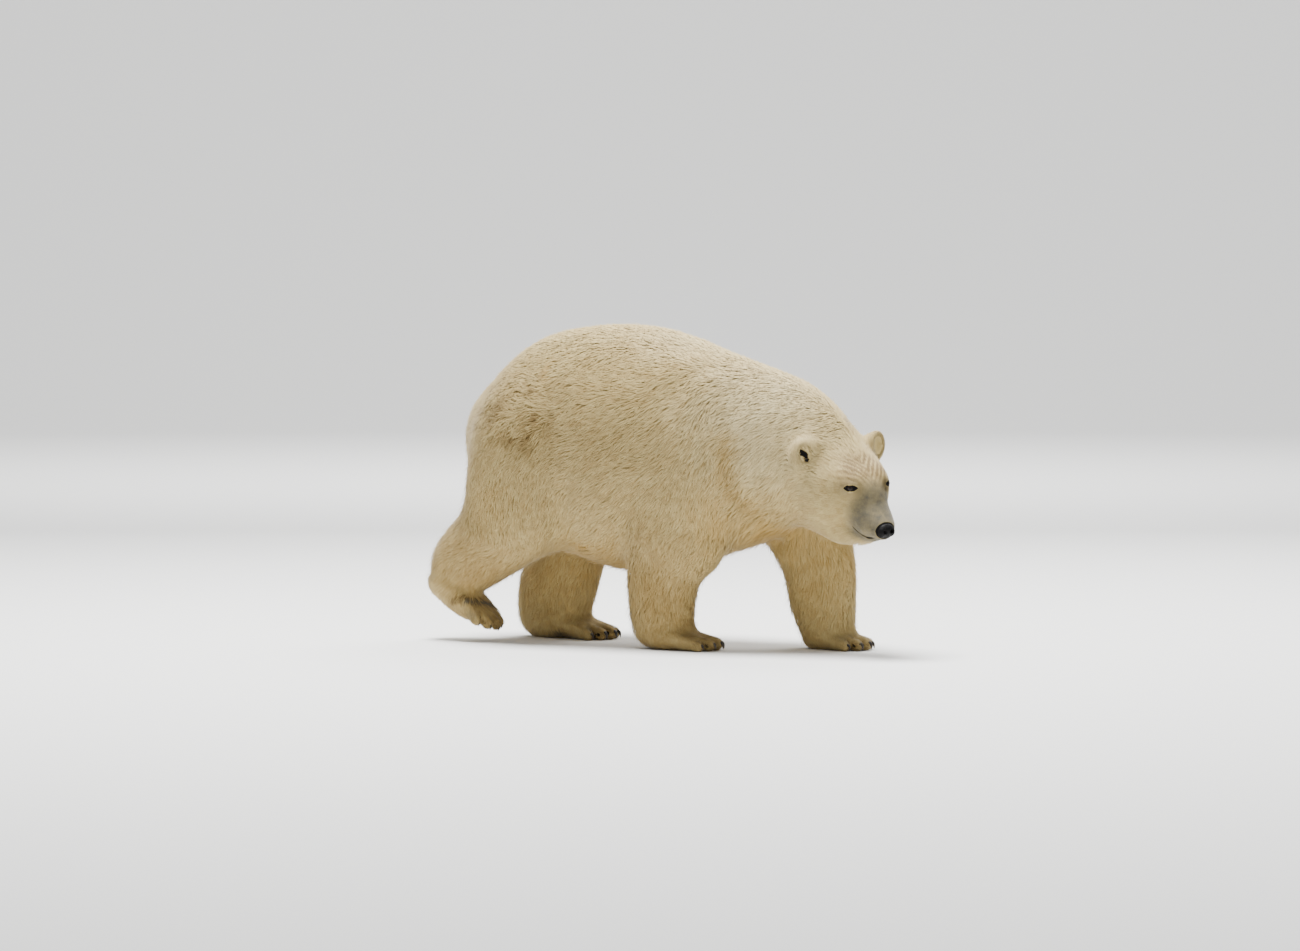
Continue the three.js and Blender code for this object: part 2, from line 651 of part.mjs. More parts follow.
const CLAW_RINGS = [[8, 8], [7.6, 8.5], [6, 7], [3.8, 4.6], [1.3, 1.6]];
const CLAW_SPREAD = 0.05;             // of a claw's distance from the foot's middle, at its bend
const footNames = ['hind_right', 'hind_left', 'fore_right', 'fore_left'];
const claws = [];
footNames.forEach((name, f) => TOE_Y.forEach((y, i) => {
  const size = TOE_RADIUS[i] / TOE_RADIUS[2];
  const aside = y * CLAW_SPREAD;
  const curve = new THREE.QuadraticBezierCurve3(
    vec(TOE_X[i] + 4 * size, y, 30 * size),
    vec(TOE_X[i] + 40 * size, y + aside, 45 * size),
    vec(TOE_X[i] + 39 * size, y + aside * 1.3, 5 * size),
  );
  const geometry = horn(curve, CLAW_RINGS, size).applyMatrix4(footPoses[f]);
  const paw = `paw_${name}`;
  flesh.set(paw, flesh.get(paw).subtract(solid(grown(geometry, SOCKET_GAP))));
  claws.push([`claw_${name}_${i + 1}`, geometry]);
}));

const NOSE_AT = vec(348, 0, -89);
const NOSE_HALVES = vec(26, 35, 27);
const NOSTRIL_RINGS = [[7, 7], [7, 8], [4, 5], [2.5, 4]];
const nosePad = new THREE.SphereGeometry(1, 18, 12).scale(...NOSE_HALVES.toArray());
nosePad.translate(...NOSE_AT.toArray()).applyMatrix4(headPose);
flesh.set('muzzle', flesh.get('muzzle').subtract(solid(grown(nosePad, SOCKET_GAP))));
let nose = solid(nosePad);
for (const s of [1, -1]) {
  const curve = new THREE.QuadraticBezierCurve3(
    vec(380, s * 10, -80), vec(368, s * 16, -82), vec(352, s * 34, -92));
  nose = nose.subtract(solid(horn(curve, NOSTRIL_RINGS).applyMatrix4(headPose)));
}

const EYE_AT = vec(194, 65, 10);      // in the head's frame, for the left eye
const EYE_RADIUS = 18;
const EYE_DEPTH = 17;                 // of its middle below the skin
const EYE_LINE = vec(1, 0, 0.45);     // the way the opening between the lids runs
const LID_RIM = { grow: 5, from: -8, to: 1.2 };
const LID_SLOT = { grow: 0, from: -18, to: 10 };
const almond = (grow) => {
  const shape = new THREE.Shape();
  shape.moveTo(-17 - grow, 0);
  shape.quadraticCurveTo(0, 16 + 2 * grow, 17 + grow, 0);
  shape.quadraticCurveTo(0, -14 - 2 * grow, -17 - grow, 0);
  return shape;
};
const almondBlock = ({ grow, from, to }, matrix) => new THREE.ExtrudeGeometry(almond(grow), {
  depth: to - from, bevelEnabled: false, curveSegments: 5,
}).translate(0, 0, from).applyMatrix4(matrix);
const slopeAt = (p) => vec(
  field(p.x + 1, p.y, p.z) - field(p.x - 1, p.y, p.z),
  field(p.x, p.y + 1, p.z) - field(p.x, p.y - 1, p.z),
  field(p.x, p.y, p.z + 1) - field(p.x, p.y, p.z - 1),
).normalize();
const eyes = [1, -1].map((s) => {
  const at = EYE_AT.clone().multiply(vec(1, s, 1)).applyMatrix4(headPose);
  settle(field, at, 40);
  const out = slopeAt(at);
  const ahead = EYE_LINE.clone().transformDirection(headPose);
  ahead.addScaledVector(out, -ahead.dot(out)).normalize();
  const frame = new THREE.Matrix4().makeBasis(ahead, out.clone().cross(ahead), out).setPosition(at);
  const sunk = frame.clone().multiply(new THREE.Matrix4().makeTranslation(0, 0, -EYE_DEPTH));
  const ball = (radius) => new THREE.SphereGeometry(radius, 14, 10).applyMatrix4(sunk);
  flesh.set('head', flesh.get('head')
    .add(solid(almondBlock(LID_RIM, frame)))
    .subtract(solid(almondBlock(LID_SLOT, frame)))
    .subtract(solid(ball(EYE_RADIUS + SOCKET_GAP))));
  return ball(EYE_RADIUS);
});

// The line of the mouth, from its right corner round the front to the left one.
const LIPS = [[250, -68, -136], [275, -60, -143], [308, -47, -144], [336, -27, -137], [346, 0, -132]];
const LIP_GROOVE = 3.5;
const bothSides = [...LIPS, ...LIPS.slice(0, -1).reverse().map(([x, y, z]) => [x, -y, z])];
const lipLine = bothSides.map((place) => {
  const p = vec(...place).applyMatrix4(headPose);
  settle(field, p, 30);
  return p;
});
const ring = new THREE.EllipseCurve(0, 0, LIP_GROOVE, LIP_GROOVE).getPoints(6).slice(0, -1);
const groove = new THREE.ExtrudeGeometry(new THREE.Shape(ring), {
  steps: 20, bevelEnabled: false, extrudePath: new THREE.CatmullRomCurve3(lipLine),
});
flesh.set('muzzle', flesh.get('muzzle').subtract(solid(groove)));

for (const [name, shape] of flesh) addPart(name, largest(shape), FINISH.coat);
for (const [name, geometry] of claws) addPart(name, geometry, FINISH.claw);
addPart('nose', largest(nose), FINISH.nose);
addPart('eye_left', eyes[0], FINISH.eye);
addPart('eye_right', eyes[1], FINISH.eye);

export default bear;
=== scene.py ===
"""A walking polar bear at life size, dressed round its solids.

One skin stands for all the flesh, the coat is many small locks of solid mesh that lie along it,
and the eyes, nose, claws and whiskers are pieces of their own. Sizes of the body are millimetres
in the bear's own frame: +X is the way it walks, +Y its left and +Z up.
"""

import itertools
import logging
import math
from collections.abc import Callable, Iterator
from dataclasses import astuple, dataclass, field
from enum import Enum

import bmesh
import bpy
import numpy as np
import openvdb
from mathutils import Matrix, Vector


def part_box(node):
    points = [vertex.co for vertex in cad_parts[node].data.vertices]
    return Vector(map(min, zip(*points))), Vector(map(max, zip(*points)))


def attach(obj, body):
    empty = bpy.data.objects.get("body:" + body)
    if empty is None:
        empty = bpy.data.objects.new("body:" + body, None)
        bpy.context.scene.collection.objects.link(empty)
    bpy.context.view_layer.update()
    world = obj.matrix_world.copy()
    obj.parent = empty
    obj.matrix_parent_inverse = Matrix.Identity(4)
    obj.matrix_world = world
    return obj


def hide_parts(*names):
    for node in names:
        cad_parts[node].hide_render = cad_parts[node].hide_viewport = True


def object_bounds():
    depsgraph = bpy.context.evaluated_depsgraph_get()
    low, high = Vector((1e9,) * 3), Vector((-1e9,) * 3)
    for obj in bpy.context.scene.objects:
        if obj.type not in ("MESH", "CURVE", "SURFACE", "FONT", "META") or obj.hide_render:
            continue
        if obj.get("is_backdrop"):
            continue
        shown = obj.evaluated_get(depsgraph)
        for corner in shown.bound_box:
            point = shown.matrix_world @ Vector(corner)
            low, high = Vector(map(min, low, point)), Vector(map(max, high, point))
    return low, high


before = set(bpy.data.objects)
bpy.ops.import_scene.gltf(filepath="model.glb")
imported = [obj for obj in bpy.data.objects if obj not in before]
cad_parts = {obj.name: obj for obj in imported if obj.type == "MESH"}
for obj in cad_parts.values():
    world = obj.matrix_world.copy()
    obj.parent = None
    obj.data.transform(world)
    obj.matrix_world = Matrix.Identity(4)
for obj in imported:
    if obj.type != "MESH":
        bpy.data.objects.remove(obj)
SOLIDS_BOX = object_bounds()
LOG = logging.getLogger("bear")
Array = np.ndarray
Numbers = tuple[float, ...]

CENTRE = np.array([132.0, 0.0, 0.0])  # the body's drawing frame over the frame's origin
FAR = 130.0  # beyond this from a form's box, it counts as far away
SEED = 7
HIDDEN_CLAW = 0.8  # size of the claws that lie under the lifted foot's toe fur
TOES = 5


# ---- sums on many points
def to_metres(points: Array) -> Array:
    """Turns body points in millimetres into the frame's metres."""
    return (points - CENTRE) / 1000.0


def to_body(points: Array) -> Array:
    """Turns the frame's metres into body points in millimetres."""
    return np.asarray(points, float) * 1000.0 + CENTRE


def unit(vectors: Array) -> Array:
    """Scales each vector to a length of one."""
    return vectors / np.maximum(np.linalg.norm(vectors, axis=-1, keepdims=True), 1e-9)


def lengths(vectors: Array) -> Array:
    """Gives the length of each row's vector."""
    return np.linalg.norm(vectors, axis=1)


def bell(values: Array) -> Array:
    """Gives 1 at zero and less on both sides of it, along a bell's curve."""
    return np.exp(-(values * values))


def dot(a: Array, b: Array) -> Array:
    """Multiplies vectors row by row into numbers."""
    return np.einsum("...i,...i->...", a, b)


def ease(low: float, high: float, values: Array) -> Array:
    """Rises smoothly from 0 at low to 1 at high.

    Args:
        low: Where the rise starts; it may be the larger of the two.
        high: Where the rise ends.
        values: Numbers to place on the rise.

    Returns:
        The heights, from 0 to 1.
    """
    t = np.clip((values - low) / (high - low), 0.0, 1.0)
    return t * t * (3.0 - 2.0 * t)


def hashed(cells: Array, seed: int) -> Array:
    """Gives each whole-number cell a number from -1 to 1 that looks random.

    Args:
        cells: Whole-number places, three to a row.
        seed: Which of many such fields to give.

    Returns:
        One number for each row.
    """
    c = cells.astype(np.int64)
    n = (c[..., 0] * 73856093) ^ (c[..., 1] * 19349663) ^ (c[..., 2] * 83492791) ^ (seed * 2654435761)
    n = (n ^ (n >> 13)) * 1274126177 & 0xFFFFFFFF
    n = (n ^ (n >> 16)) * 2246822519 & 0xFFFFFFFF
    return ((n >> 8) & 0xFFFF) / 32767.5 - 1.0


def corners_of(shares: Array) -> Iterator[tuple[Array, Array]]:
    """Gives a cell's eight corners, each with how much it counts at places in the cell."""
    for corner in itertools.product((0, 1), repeat=3):
        yield np.array(corner), np.where(corner, shares, 1.0 - shares).prod(axis=1)


def noise(points: Array, size: float, seed: int = 0) -> Array:
    """Gives smooth noise from -1 to 1 whose lumps are about `size` across.

    Args:
        points: Places, three numbers to a row.
        size: Width of a lump, in the points' unit.
        seed: Which of many such fields to give.

    Returns:
        One number for each row.
    """
    q = points / size
    base = np.floor(q)
    f = q - base
    f = f * f * (3.0 - 2.0 * f)
    total = np.zeros(len(points))
    for step, weight in corners_of(f):
        total += weight * hashed(base + step, seed)
    return total


def blend(a: Array, b: Array, width: float) -> Array:
    """Joins two distances so that one form flows into the other over a width."""
    h = np.maximum(width - np.abs(a - b), 0.0) / width
    return np.minimum(a, b) - h * h * width * 0.25


def carve(a: Array, b: Array, width: float) -> Array:
    """Takes form b away from form a with an edge rounded over a width."""
    return -blend(-a, b, width)


def swell(points: Array, at: Numbers, halves: Numbers) -> Array:
    """Gives a soft swelling that is 1 at a place and fades over its half sizes."""
    return np.exp(-(((points - at) / halves) ** 2).sum(axis=1))


def off_line(points: Array, line: Array) -> Array:
    """Gives the squared distance of points from a line of straight pieces.

    Args:
        points: Points to measure.
        line: The line's corners in order.

    Returns:
        Squared distances.
    """
    best = np.full(len(points), np.inf)
    for a, b in zip(line[:-1], line[1:]):
        run = b - a
        t = np.clip((points - a) @ run / (run @ run), 0, 1)
        best = np.minimum(best, ((points - a - t[:, None] * run) ** 2).sum(axis=1))
    return best


def lattice(low: Array, count: Array, cell: float) -> Array:
    """Gives the points of a regular grid, three numbers to a row."""
    axes = [low[i] + np.arange(count[i]) * cell for i in range(3)]
    return np.stack(np.meshgrid(*axes, indexing="ij"), -1).reshape(-1, 3)


def spin(axis: str, degrees: float) -> Array:
    """Gives the 3 by 3 matrix of a turn about one axis.

    Args:
        axis: x, y or z.
        degrees: How far to turn.

    Returns:
        The matrix, for column vectors.
    """
    c, s = math.cos(math.radians(degrees)), math.sin(math.radians(degrees))
    rows = {
        "x": [[1, 0, 0], [0, c, -s], [0, s, c]],
        "y": [[c, 0, s], [0, 1, 0], [-s, 0, c]],
        "z": [[c, -s, 0], [s, c, 0], [0, 0, 1]],
    }
    return np.array(rows[axis], float)


@dataclass(frozen=True)
class Pose:
    """Where a form drawn in a frame of its own is set in the body."""

    x: float
    y: float
    z: float
    turn: float = 0.0
    pitch: float = 0.0
    roll: float = 0.0
    scale: float = 1.0

    @property
    def axes(self) -> Array:
        """The turn as a matrix whose columns are the frame's own axes."""
        return spin("z", self.turn) @ spin("y", self.pitch) @ spin("x", self.roll)

    def inside(self, points: Array) -> Array:
        """Turns body points into the frame's own."""
        return ((points - (self.x, self.y, self.z)) @ self.axes) / self.scale

    def outside(self, points: Array) -> Array:
        """Turns the frame's own points into body points."""
        return (np.asarray(points, float) * self.scale) @ self.axes.T + (self.x, self.y, self.z)

    def box(self, low: Numbers, high: Numbers) -> tuple[Array, Array]:
        """Gives the body's box round a box of the frame's own."""
        corners = self.outside(list(itertools.product(*zip(low, high))))
        return corners.min(axis=0), corners.max(axis=0)


# ---- objects and meshes
def placed(name: str, data: bpy.types.ID) -> bpy.types.Object:
    """Makes an object of some data and puts it in the scene.

    Args:
        name: The object's name.
        data: Its mesh, light or camera data.

    Returns:
        The object.
    """
    thing = bpy.data.objects.new(name, data)
    bpy.context.collection.objects.link(thing)
    return thing


def smoothed(mesh: bpy.types.Mesh) -> None:
    """Shades every face of a mesh smooth."""
    mesh.polygons.foreach_set("use_smooth", np.ones(len(mesh.polygons), bool))


def drawn(name: str, points: Array, faces: Array) -> bpy.types.Mesh:
    """Makes a mesh of points and faces.

    Args:
        name: The mesh's name.
        points: Its points.
        faces: Its faces.

    Returns:
        The mesh.
    """
    mesh = bpy.data.meshes.new(name)
    mesh.from_pydata(points.tolist(), [], faces.tolist())
    return mesh


def surface(values: Array, background: float) -> tuple[Array, Array]:
    """Draws the surface where a grid of distances is zero, as points in cells and quads.

    Args:
        values: Distances on the grid.
        background: The distance beyond it.

    Returns:
        Points and quads.
    """
    level = openvdb.FloatGrid(background=background)
    level.copyFromArray(values.astype(np.float32))
    points, _, quads = level.convertToPolygons(0.0, 0.0)
    return points, quads


def carry(mesh: bpy.types.Mesh, name: str, kind: str, values: Array) -> None:
    """Stores a value, vector or colour for each point of a mesh.

    Args:
        mesh: The mesh.
        name: The attribute's name.
        kind: Its data type.
        values: A row for each point.
    """
    member = {"FLOAT": "value", "FLOAT_VECTOR": "vector", "FLOAT_COLOR": "color"}[kind]
    store = mesh.color_attributes if kind == "FLOAT_COLOR" else mesh.attributes
    store.new(name, kind, "POINT").data.foreach_set(member, values.astype(np.float32).ravel())


# ---- forms
@dataclass
class Form:
    """A closed form that is known by how far points are from it, negative inside."""

    low: Array
    high: Array

    def measure(self, points: Array) -> Array:
        """Gives the distance of points near the form."""
        raise NotImplementedError

    def distance(self, points: Array) -> Array:
        """Gives the distance of any points, rough where they are far away.

        Args:
            points: Body points in millimetres.

        Returns:
            Distances, negative inside.
        """
        away = np.maximum(self.low - points, points - self.high).max(axis=1)
        near = away <= FAR
        result = away.astype(np.float32)
        if near.any():
            result[near] = self.measure(points[near])
        return result


class Limb(Form):
    """A tapering form along a smooth line of stations (x, y, z, wide, fore, aft)."""

    def __init__(self, stations: list[Numbers], pieces: int = 5) -> None:
        """Draws the smooth line.

        Args:
            stations: Middle, half width and the two half depths at places down the limb.
            pieces: Straight pieces between two stations.
        """
        table = np.array(stations, float)
        count = (len(table) - 1) * pieces
        rings = np.array([self.along(table, i / count) for i in range(count + 1)])
        reach = rings[:, 3:].max()
        super().__init__(rings[:, :3].min(axis=0) - reach, rings[:, :3].max(axis=0) + reach)
        self.starts, self.ends = rings[:-1], rings[1:]
        steps = self.ends[:, :3] - self.starts[:, :3]
        self.lengths = lengths(steps)
        self.headings = unit(steps)
        side = np.array([0.0, 1.0, 0.0])
        self.across = unit(side - self.headings * (self.headings @ side)[:, None])
        self.deep = np.cross(self.headings, self.across)

    @staticmethod
    def along(table: Array, t: float) -> Array:
        """Gives the smoothed row at t, from 0 to 1 down the table.

        Args:
            table: The stations.
            t: How far down the table.

        Returns:
            A row like a station's.
        """
        last = len(table) - 1
        s = min(t * last, last - 1e-9)
        i = int(s)
        f = s - i
        p0, p1, p2, p3 = (table[max(0, min(last, j))] for j in (i - 1, i, i + 1, i + 2))
        v0, v1 = (p2 - p0) / 2, (p3 - p1) / 2
        return (2 * p1 - 2 * p2 + v0 + v1) * f**3 + (-3 * p1 + 3 * p2 - 2 * v0 - v1) * f * f + v0 * f + p1

    def nearest(self, points: Array) -> tuple[Array, Array]:
        """Finds the distance of points and which piece of the limb each is nearest to.

        Args:
            points: Body points in millimetres.

        Returns:
            Distances, and the numbers of the pieces.
        """
        best = np.full(len(points), 1e9, np.float32)
        which = np.zeros(len(points), np.int32)
        for i, (start, end) in enumerate(zip(self.starts, self.ends)):
            d = (points - start[:3]).astype(np.float32)
            run = d @ self.headings[i].astype(np.float32)
            t = np.clip(run / self.lengths[i], 0.0, 1.0)
            past = run - t * self.lengths[i]
            s = d @ self.across[i].astype(np.float32)
            v = d @ self.deep[i].astype(np.float32)
            wide = start[3] + (end[3] - start[3]) * t
            fore = start[4] + (end[4] - start[4]) * t
            aft = start[5] + (end[5] - start[5]) * t
            depth = np.where(v > 0, fore, aft)
            cap = np.minimum(wide, depth)
            a, b, c = s / wide, v / depth, past / cap
            k0 = np.sqrt(a * a + b * b + c * c)
            k1 = np.sqrt((a / wide) ** 2 + (b / depth) ** 2 + (c / cap) ** 2)
            value = k0 * (k0 - 1.0) / (k1 + 1e-9)
            closer = value < best
            best[closer] = value[closer]
            which[closer] = i
        return best, which

    def measure(self, points: Array) -> Array:
        """Gives the distance of points near the form."""
        return self.nearest(points)[0]


class Swelling(Form):
    """An egg-shaped form with three half sizes, pitched nose down and turned left."""

    def __init__(self, at: Numbers, halves: Numbers, pitch: float = 0, turn: float = 0) -> None:
        """Places the form.

        Args:
            at: Its middle.
            halves: Its half sizes along its own x, y and z.
            pitch: Degrees it is pitched, nose down.
            turn: Degrees it is turned to the left.
        """
        self.at, self.halves = np.array(at, float), np.array(halves, float)
        self.axes = spin("z", turn) @ spin("y", pitch)
        super().__init__(self.at - self.halves.max(), self.at + self.halves.max())

    def measure(self, points: Array) -> Array:
        """Gives the distance of points near the form.

        Args:
            points: Body points in millimetres.

        Returns:
            Distances, negative inside.
        """
        q = ((points - self.at) @ self.axes) / self.halves
        k0 = lengths(q)
        k1 = lengths(q / self.halves)
        return (k0 * (k0 - 1.0) / (k1 + 1e-9)).astype(np.float32)


def mirrored(points: Array) -> Array:
    """Folds points onto the left side, for forms that both sides share."""
    return points * (1.0, 0.0, 1.0) + np.abs(points) * (0.0, 1.0, 0.0)


# ---- the coat on each part
DEPTH, LENGTH, WIDTH, LIFT, STRAY, GATHER, WANDER, LAYERS = range(8)  # CoatSpec's values, in order


@dataclass(frozen=True)
class CoatSpec:
    """How the coat grows on one part of the body, in millimetres."""

    depth: float  # from the skin out to the coat's face
    length: float
    width: float
    lift: float  # how far the tips stand above the coat's face
    stray: float  # how far single guard hairs stand out beyond them
    gather: float  # how strongly tips draw together into locks, 0 to 1
    wander: float  # how far the lie strays, in radians
    layers: float  # locks that lie over any one spot


class Place(Enum):
    """The parts of the body that differ in coat and lie."""

    TRUNK = "trunk"
    NECK = "neck"
    HEAD = "head"
    EAR = "ear"
    TAIL = "tail"
    NEAR_HIND = "hind_right"
    FAR_HIND = "hind_left"
    NEAR_FORE = "fore_right"
    FAR_FORE = "fore_left"
    NEAR_HIND_FOOT = "foot_hind_right"
    FAR_HIND_FOOT = "foot_hind_left"
    NEAR_FORE_FOOT = "foot_fore_right"
    FAR_FORE_FOOT = "foot_fore_left"


PLACES = list(Place)
COLUMN = {place: i for i, place in enumerate(PLACES)}
LEGS = (Place.NEAR_HIND, Place.FAR_HIND, Place.NEAR_FORE, Place.FAR_FORE)
FEET = (Place.NEAR_HIND_FOOT, Place.FAR_HIND_FOOT, Place.NEAR_FORE_FOOT, Place.FAR_FORE_FOOT)
LEG_COAT = CoatSpec(11, 44, 5.4, 1.8, 14.0, 0.2, 0.24, 6.0)
FOOT_COAT = CoatSpec(5, 25, 3.8, 1.6, 4.5, 0.25, 0.22, 5.0)
COATS = {
    Place.TRUNK: CoatSpec(13, 54, 6.0, 1.2, 9.0, 0.16, 0.26, 6.2),
    Place.NECK: CoatSpec(12, 46, 5.4, 1.0, 8.0, 0.14, 0.22, 6.2),
    Place.HEAD: CoatSpec(5.5, 19, 3.3, 0.5, 1.6, 0.2, 0.18, 5.0),
    Place.EAR: CoatSpec(2.6, 13, 2.8, 0.8, 3.0, 0.15, 0.25, 5.0),
    Place.TAIL: CoatSpec(9, 48, 5.8, 2.0, 9.0, 0.3, 0.2, 6.0),
    **{leg: LEG_COAT for leg in LEGS},
    **{foot: FOOT_COAT for foot in FEET},
    Place.NEAR_HIND_FOOT: CoatSpec(6, 42, 4.8, 3.0, 8.0, 0.25, 0.22, 5.5),
}
TRUNK, NECK, HEAD, EAR, TAIL, LEG, FOOT = 0, 1, 2, 3, 4, 5, 9  # where each kind starts in PLACES
# How far a part's coat reaches over its neighbours', and how strongly it holds its own.
REACH = np.array([34.0, 34.0, 26.0, 9.0, 20.0] + [34.0] * 4 + [20.0] * 4)
HOLD = np.array([1.0, 1.0, 1.0, 6.0, 1.0] + [1.0] * 4 + [3.0] * 4)


# ---- the body's forms
class HeadForm(Form):
    """The head, in a frame of its own: x runs to the nose, y to the left ear, z up."""

    POSE = Pose(882, -90, 754, -29.5, 26.5, 6, 1.08)
    EAR_AT = np.array([8.0, 140.0, 0.0])
    # How wide the forms flow into one another.
    BROW_FLOW, CHEEK_FLOW, THROAT_FLOW, JAW_FLOW, EAR_FLOW = 40, 60, 60, 22, 26
    CUP_EDGE = 8

    def __init__(self, cupped: bool = True) -> None:
        """Draws the head's forms, the ears with or without their cups.

        Args:
            cupped: Whether the ears have cups.
        """
        self.cupped = cupped
        self.face = Limb([
            (-40, 0, -35, 112, 98, 180),
            (50, 0, -40, 126, 116, 195),
            (120, 0, -50, 112, 124, 178),
            (175, 0, -62, 90, 116, 140),
            (225, 0, -75, 76, 80, 105),
            (275, 0, -85, 68, 58, 68),
            (312, 0, -88, 58, 42, 50),
            (332, 0, -90, 47, 34, 42),
        ])
        self.brow = Swelling((160, 56, 10), (62, 40, 46), 8, -6)
        self.cheek = Swelling((60, 85, -90), (105, 74, 110), 12, 8)
        self.throat = Swelling((30, 0, -190), (150, 100, 84), 8)
        self.jaw = Limb([
            (130, 0, -172, 78, 40, 62),
            (220, 0, -166, 56, 34, 40),
            (270, 0, -152, 42, 22, 26),
            (300, 0, -144, 32, 14, 14),
        ])
        up = unit(np.array([-0.34, 0.22, 0.91]))
        facing = np.array([1.0, 0.2, 0.1])
        facing = unit(facing - up * (up @ facing))
        self.ear_axes = np.stack([facing, np.cross(up, facing), up], axis=1)
        self.shell = Swelling((0, 0, 42), (23, 48, 60))
        self.cup = Swelling((23, 0, 52), (26, 31, 42))
        super().__init__(*self.POSE.box((-160, -180, -290), (400, 180, 120)))

    def in_ear(self, own: Array) -> Array:
        """Turns points of the head's frame into the left ear's, z out to its tip."""
        return (mirrored(own) - self.EAR_AT) @ self.ear_axes

    def ears(self, own: Array) -> Array:
        """Gives the distance to both ears of points in the head's frame.

        Args:
            own: Points of the head's frame.

        Returns:
            Distances, negative inside.
        """
        q = self.in_ear(own)
        shell = self.shell.distance(q)
        return carve(shell, self.cup.distance(q), self.CUP_EDGE) if self.cupped else shell

    def measure(self, points: Array) -> Array:
        """Gives the distance of points near the head."""
        return self.forms(points)[0]

    def forms(self, points: Array) -> tuple[Array, Array]:
        """Gives the distance to the whole head and to the ears alone.

        Args:
            points: Body points in millimetres.

        Returns:
            Both distances, negative inside.
        """
        own = self.POSE.inside(points)
        side = mirrored(own)
        d = blend(self.face.distance(own), self.brow.distance(side), self.BROW_FLOW)
        d = blend(d, self.cheek.distance(side), self.CHEEK_FLOW)
        below = blend(self.jaw.distance(own), self.throat.distance(own), self.THROAT_FLOW)
        d = blend(d, below, self.JAW_FLOW)
        ears = self.ears(own)
        return blend(d, ears, self.EAR_FLOW) * self.POSE.scale, ears * self.POSE.scale


class Foot(Form):
    """A foot in a frame of its own, whose origin is on the floor under the ankle."""

    TOE_Y = (-82, -44, 0, 44, 82)
    TOE_X = (98, 130, 142, 130, 98)
    TOE_RADIUS = (21, 25, 27, 25, 21)
    GAP_Y = (-64, -22, 22, 64)  # between the toes
    TOE_FLOW, PAD_FLOW = 7, 30  # how wide toes and pad flow into one another
    TOE_SINK = 2  # how far a toe's round underside is flattened by the floor
    REACH = 230.0  # nothing of a foot is farther than this from its origin

    def __init__(self, pose: Pose, heel: float, sag: float = 0.0) -> None:
        """Draws the pad and the five toes.

        Args:
            pose: Where the foot stands.
            heel: How far the heel reaches behind the ankle.
            sag: How far the sole of a lifted foot bulges below its toes.
        """
        self.pose = pose
        self.pad = Limb([
            (-heel, 0, 46, 74, 34, 50 + sag * 0.7),
            (-heel * 0.4, 0, 52, 92, 44, 56 + sag),
            (20, 0, 46, 97, 36, 50 + sag * 0.7),
            (75, 0, 36, 86, 20, 40),
        ])
        self.toes = [
            Limb([
                (40, y * 0.8, r * 1.4, r * 0.82, r * 0.67, r * 0.9),
                (x - 30, y * 0.95, r * 1.33, r * 0.82, r * 0.82, r * 0.82),
                (x, y, r - self.TOE_SINK, r * 0.9, r, r),
            ], 3)
            for x, y, r in zip(self.TOE_X, self.TOE_Y, self.TOE_RADIUS)
        ]
        super().__init__(*pose.box((-240, -130, -60), (190, 130, 120)))

    def measure(self, points: Array) -> Array:
        """Gives the distance of points near the foot.

        Args:
            points: Body points in millimetres.

        Returns:
            Distances, negative inside.
        """
        own = self.pose.inside(points)
        toes = self.toes[0].distance(own)
        for toe in self.toes[1:]:
            toes = blend(toes, toe.distance(own), self.TOE_FLOW)
        return blend(self.pad.distance(own), toes, self.PAD_FLOW) * self.pose.scale

    def toe_gaps(self, points: Array) -> tuple[Array, Array]:
        """Gives body points in the foot's frame and how far each is from a gap between toes.

        Args:
            points: Body points in millimetres.

        Returns:
            Points of the foot's frame, and distances.
        """
        own = self.pose.inside(points)
        gap = np.min([np.abs(own[:, 1] - y) for y in self.GAP_Y], axis=0)
        return own, np.where(lengths(own) < self.REACH, gap, FAR)


@dataclass
class Survey:
    """What the body's forms say about a set of points."""

    distance: Array
    parts: Array  # a row for each point, a column for each of PLACES

    def weights(self) -> Array:
        """Says how much each part counts at each point; the rows add up to one.

        Returns:
            A row for each point.
        """
        away = np.clip(self.parts, 0, 400) / REACH
        w = (np.exp(-(away**2)) + 1e-9) * HOLD
        return w / w.sum(axis=1, keepdims=True)


@dataclass(frozen=True)
class Fold:
    """A soft crease in the coat along a line, on one side of the body or on both."""

    line: tuple[tuple[float, float, float], ...]
    depth: float
    width: float
    both: bool = True

    def sink(self, points: Array) -> Array:
        """Gives how far the crease sinks the coat's face at points.

        Args:
            points: Body points in millimetres.

        Returns:
            Depths in millimetres.
        """
        places = points.copy()
        if self.both:
            places[:, 1] = -np.abs(places[:, 1])
        return self.depth * np.exp(-off_line(places, np.array(self.line, np.float32)) / self.width**2)


FOLDS = (
    Fold(((545, -110, 1150), (512, -215, 1065), (486, -265, 915), (496, -262, 760), (542, -235, 611),
          (610, -190, 505)), 11, 42),
    Fold(((500, -60, 1195), (413, -150, 1154), (317, -225, 1100), (241, -275, 1010)), 9, 46),
    Fold(((60, -262, 520), (78, -235, 430), (70, -190, 360)), 16, 34, False),
    Fold(((590, -150, 500), (560, -90, 440), (520, -20, 410)), 12, 40),
    Fold(((-215, -305, 640), (-250, -290, 540), (-300, -255, 450), (-330, -200, 390)), 12, 40, False),
    Fold(((-600, -250, 700), (-640, -215, 620), (-700, -190, 560)), 8, 40, False),
    Fold(((-905, -150, 262), (-800, -250, 190), (-690, -235, 178)), 7, 20, False),
)


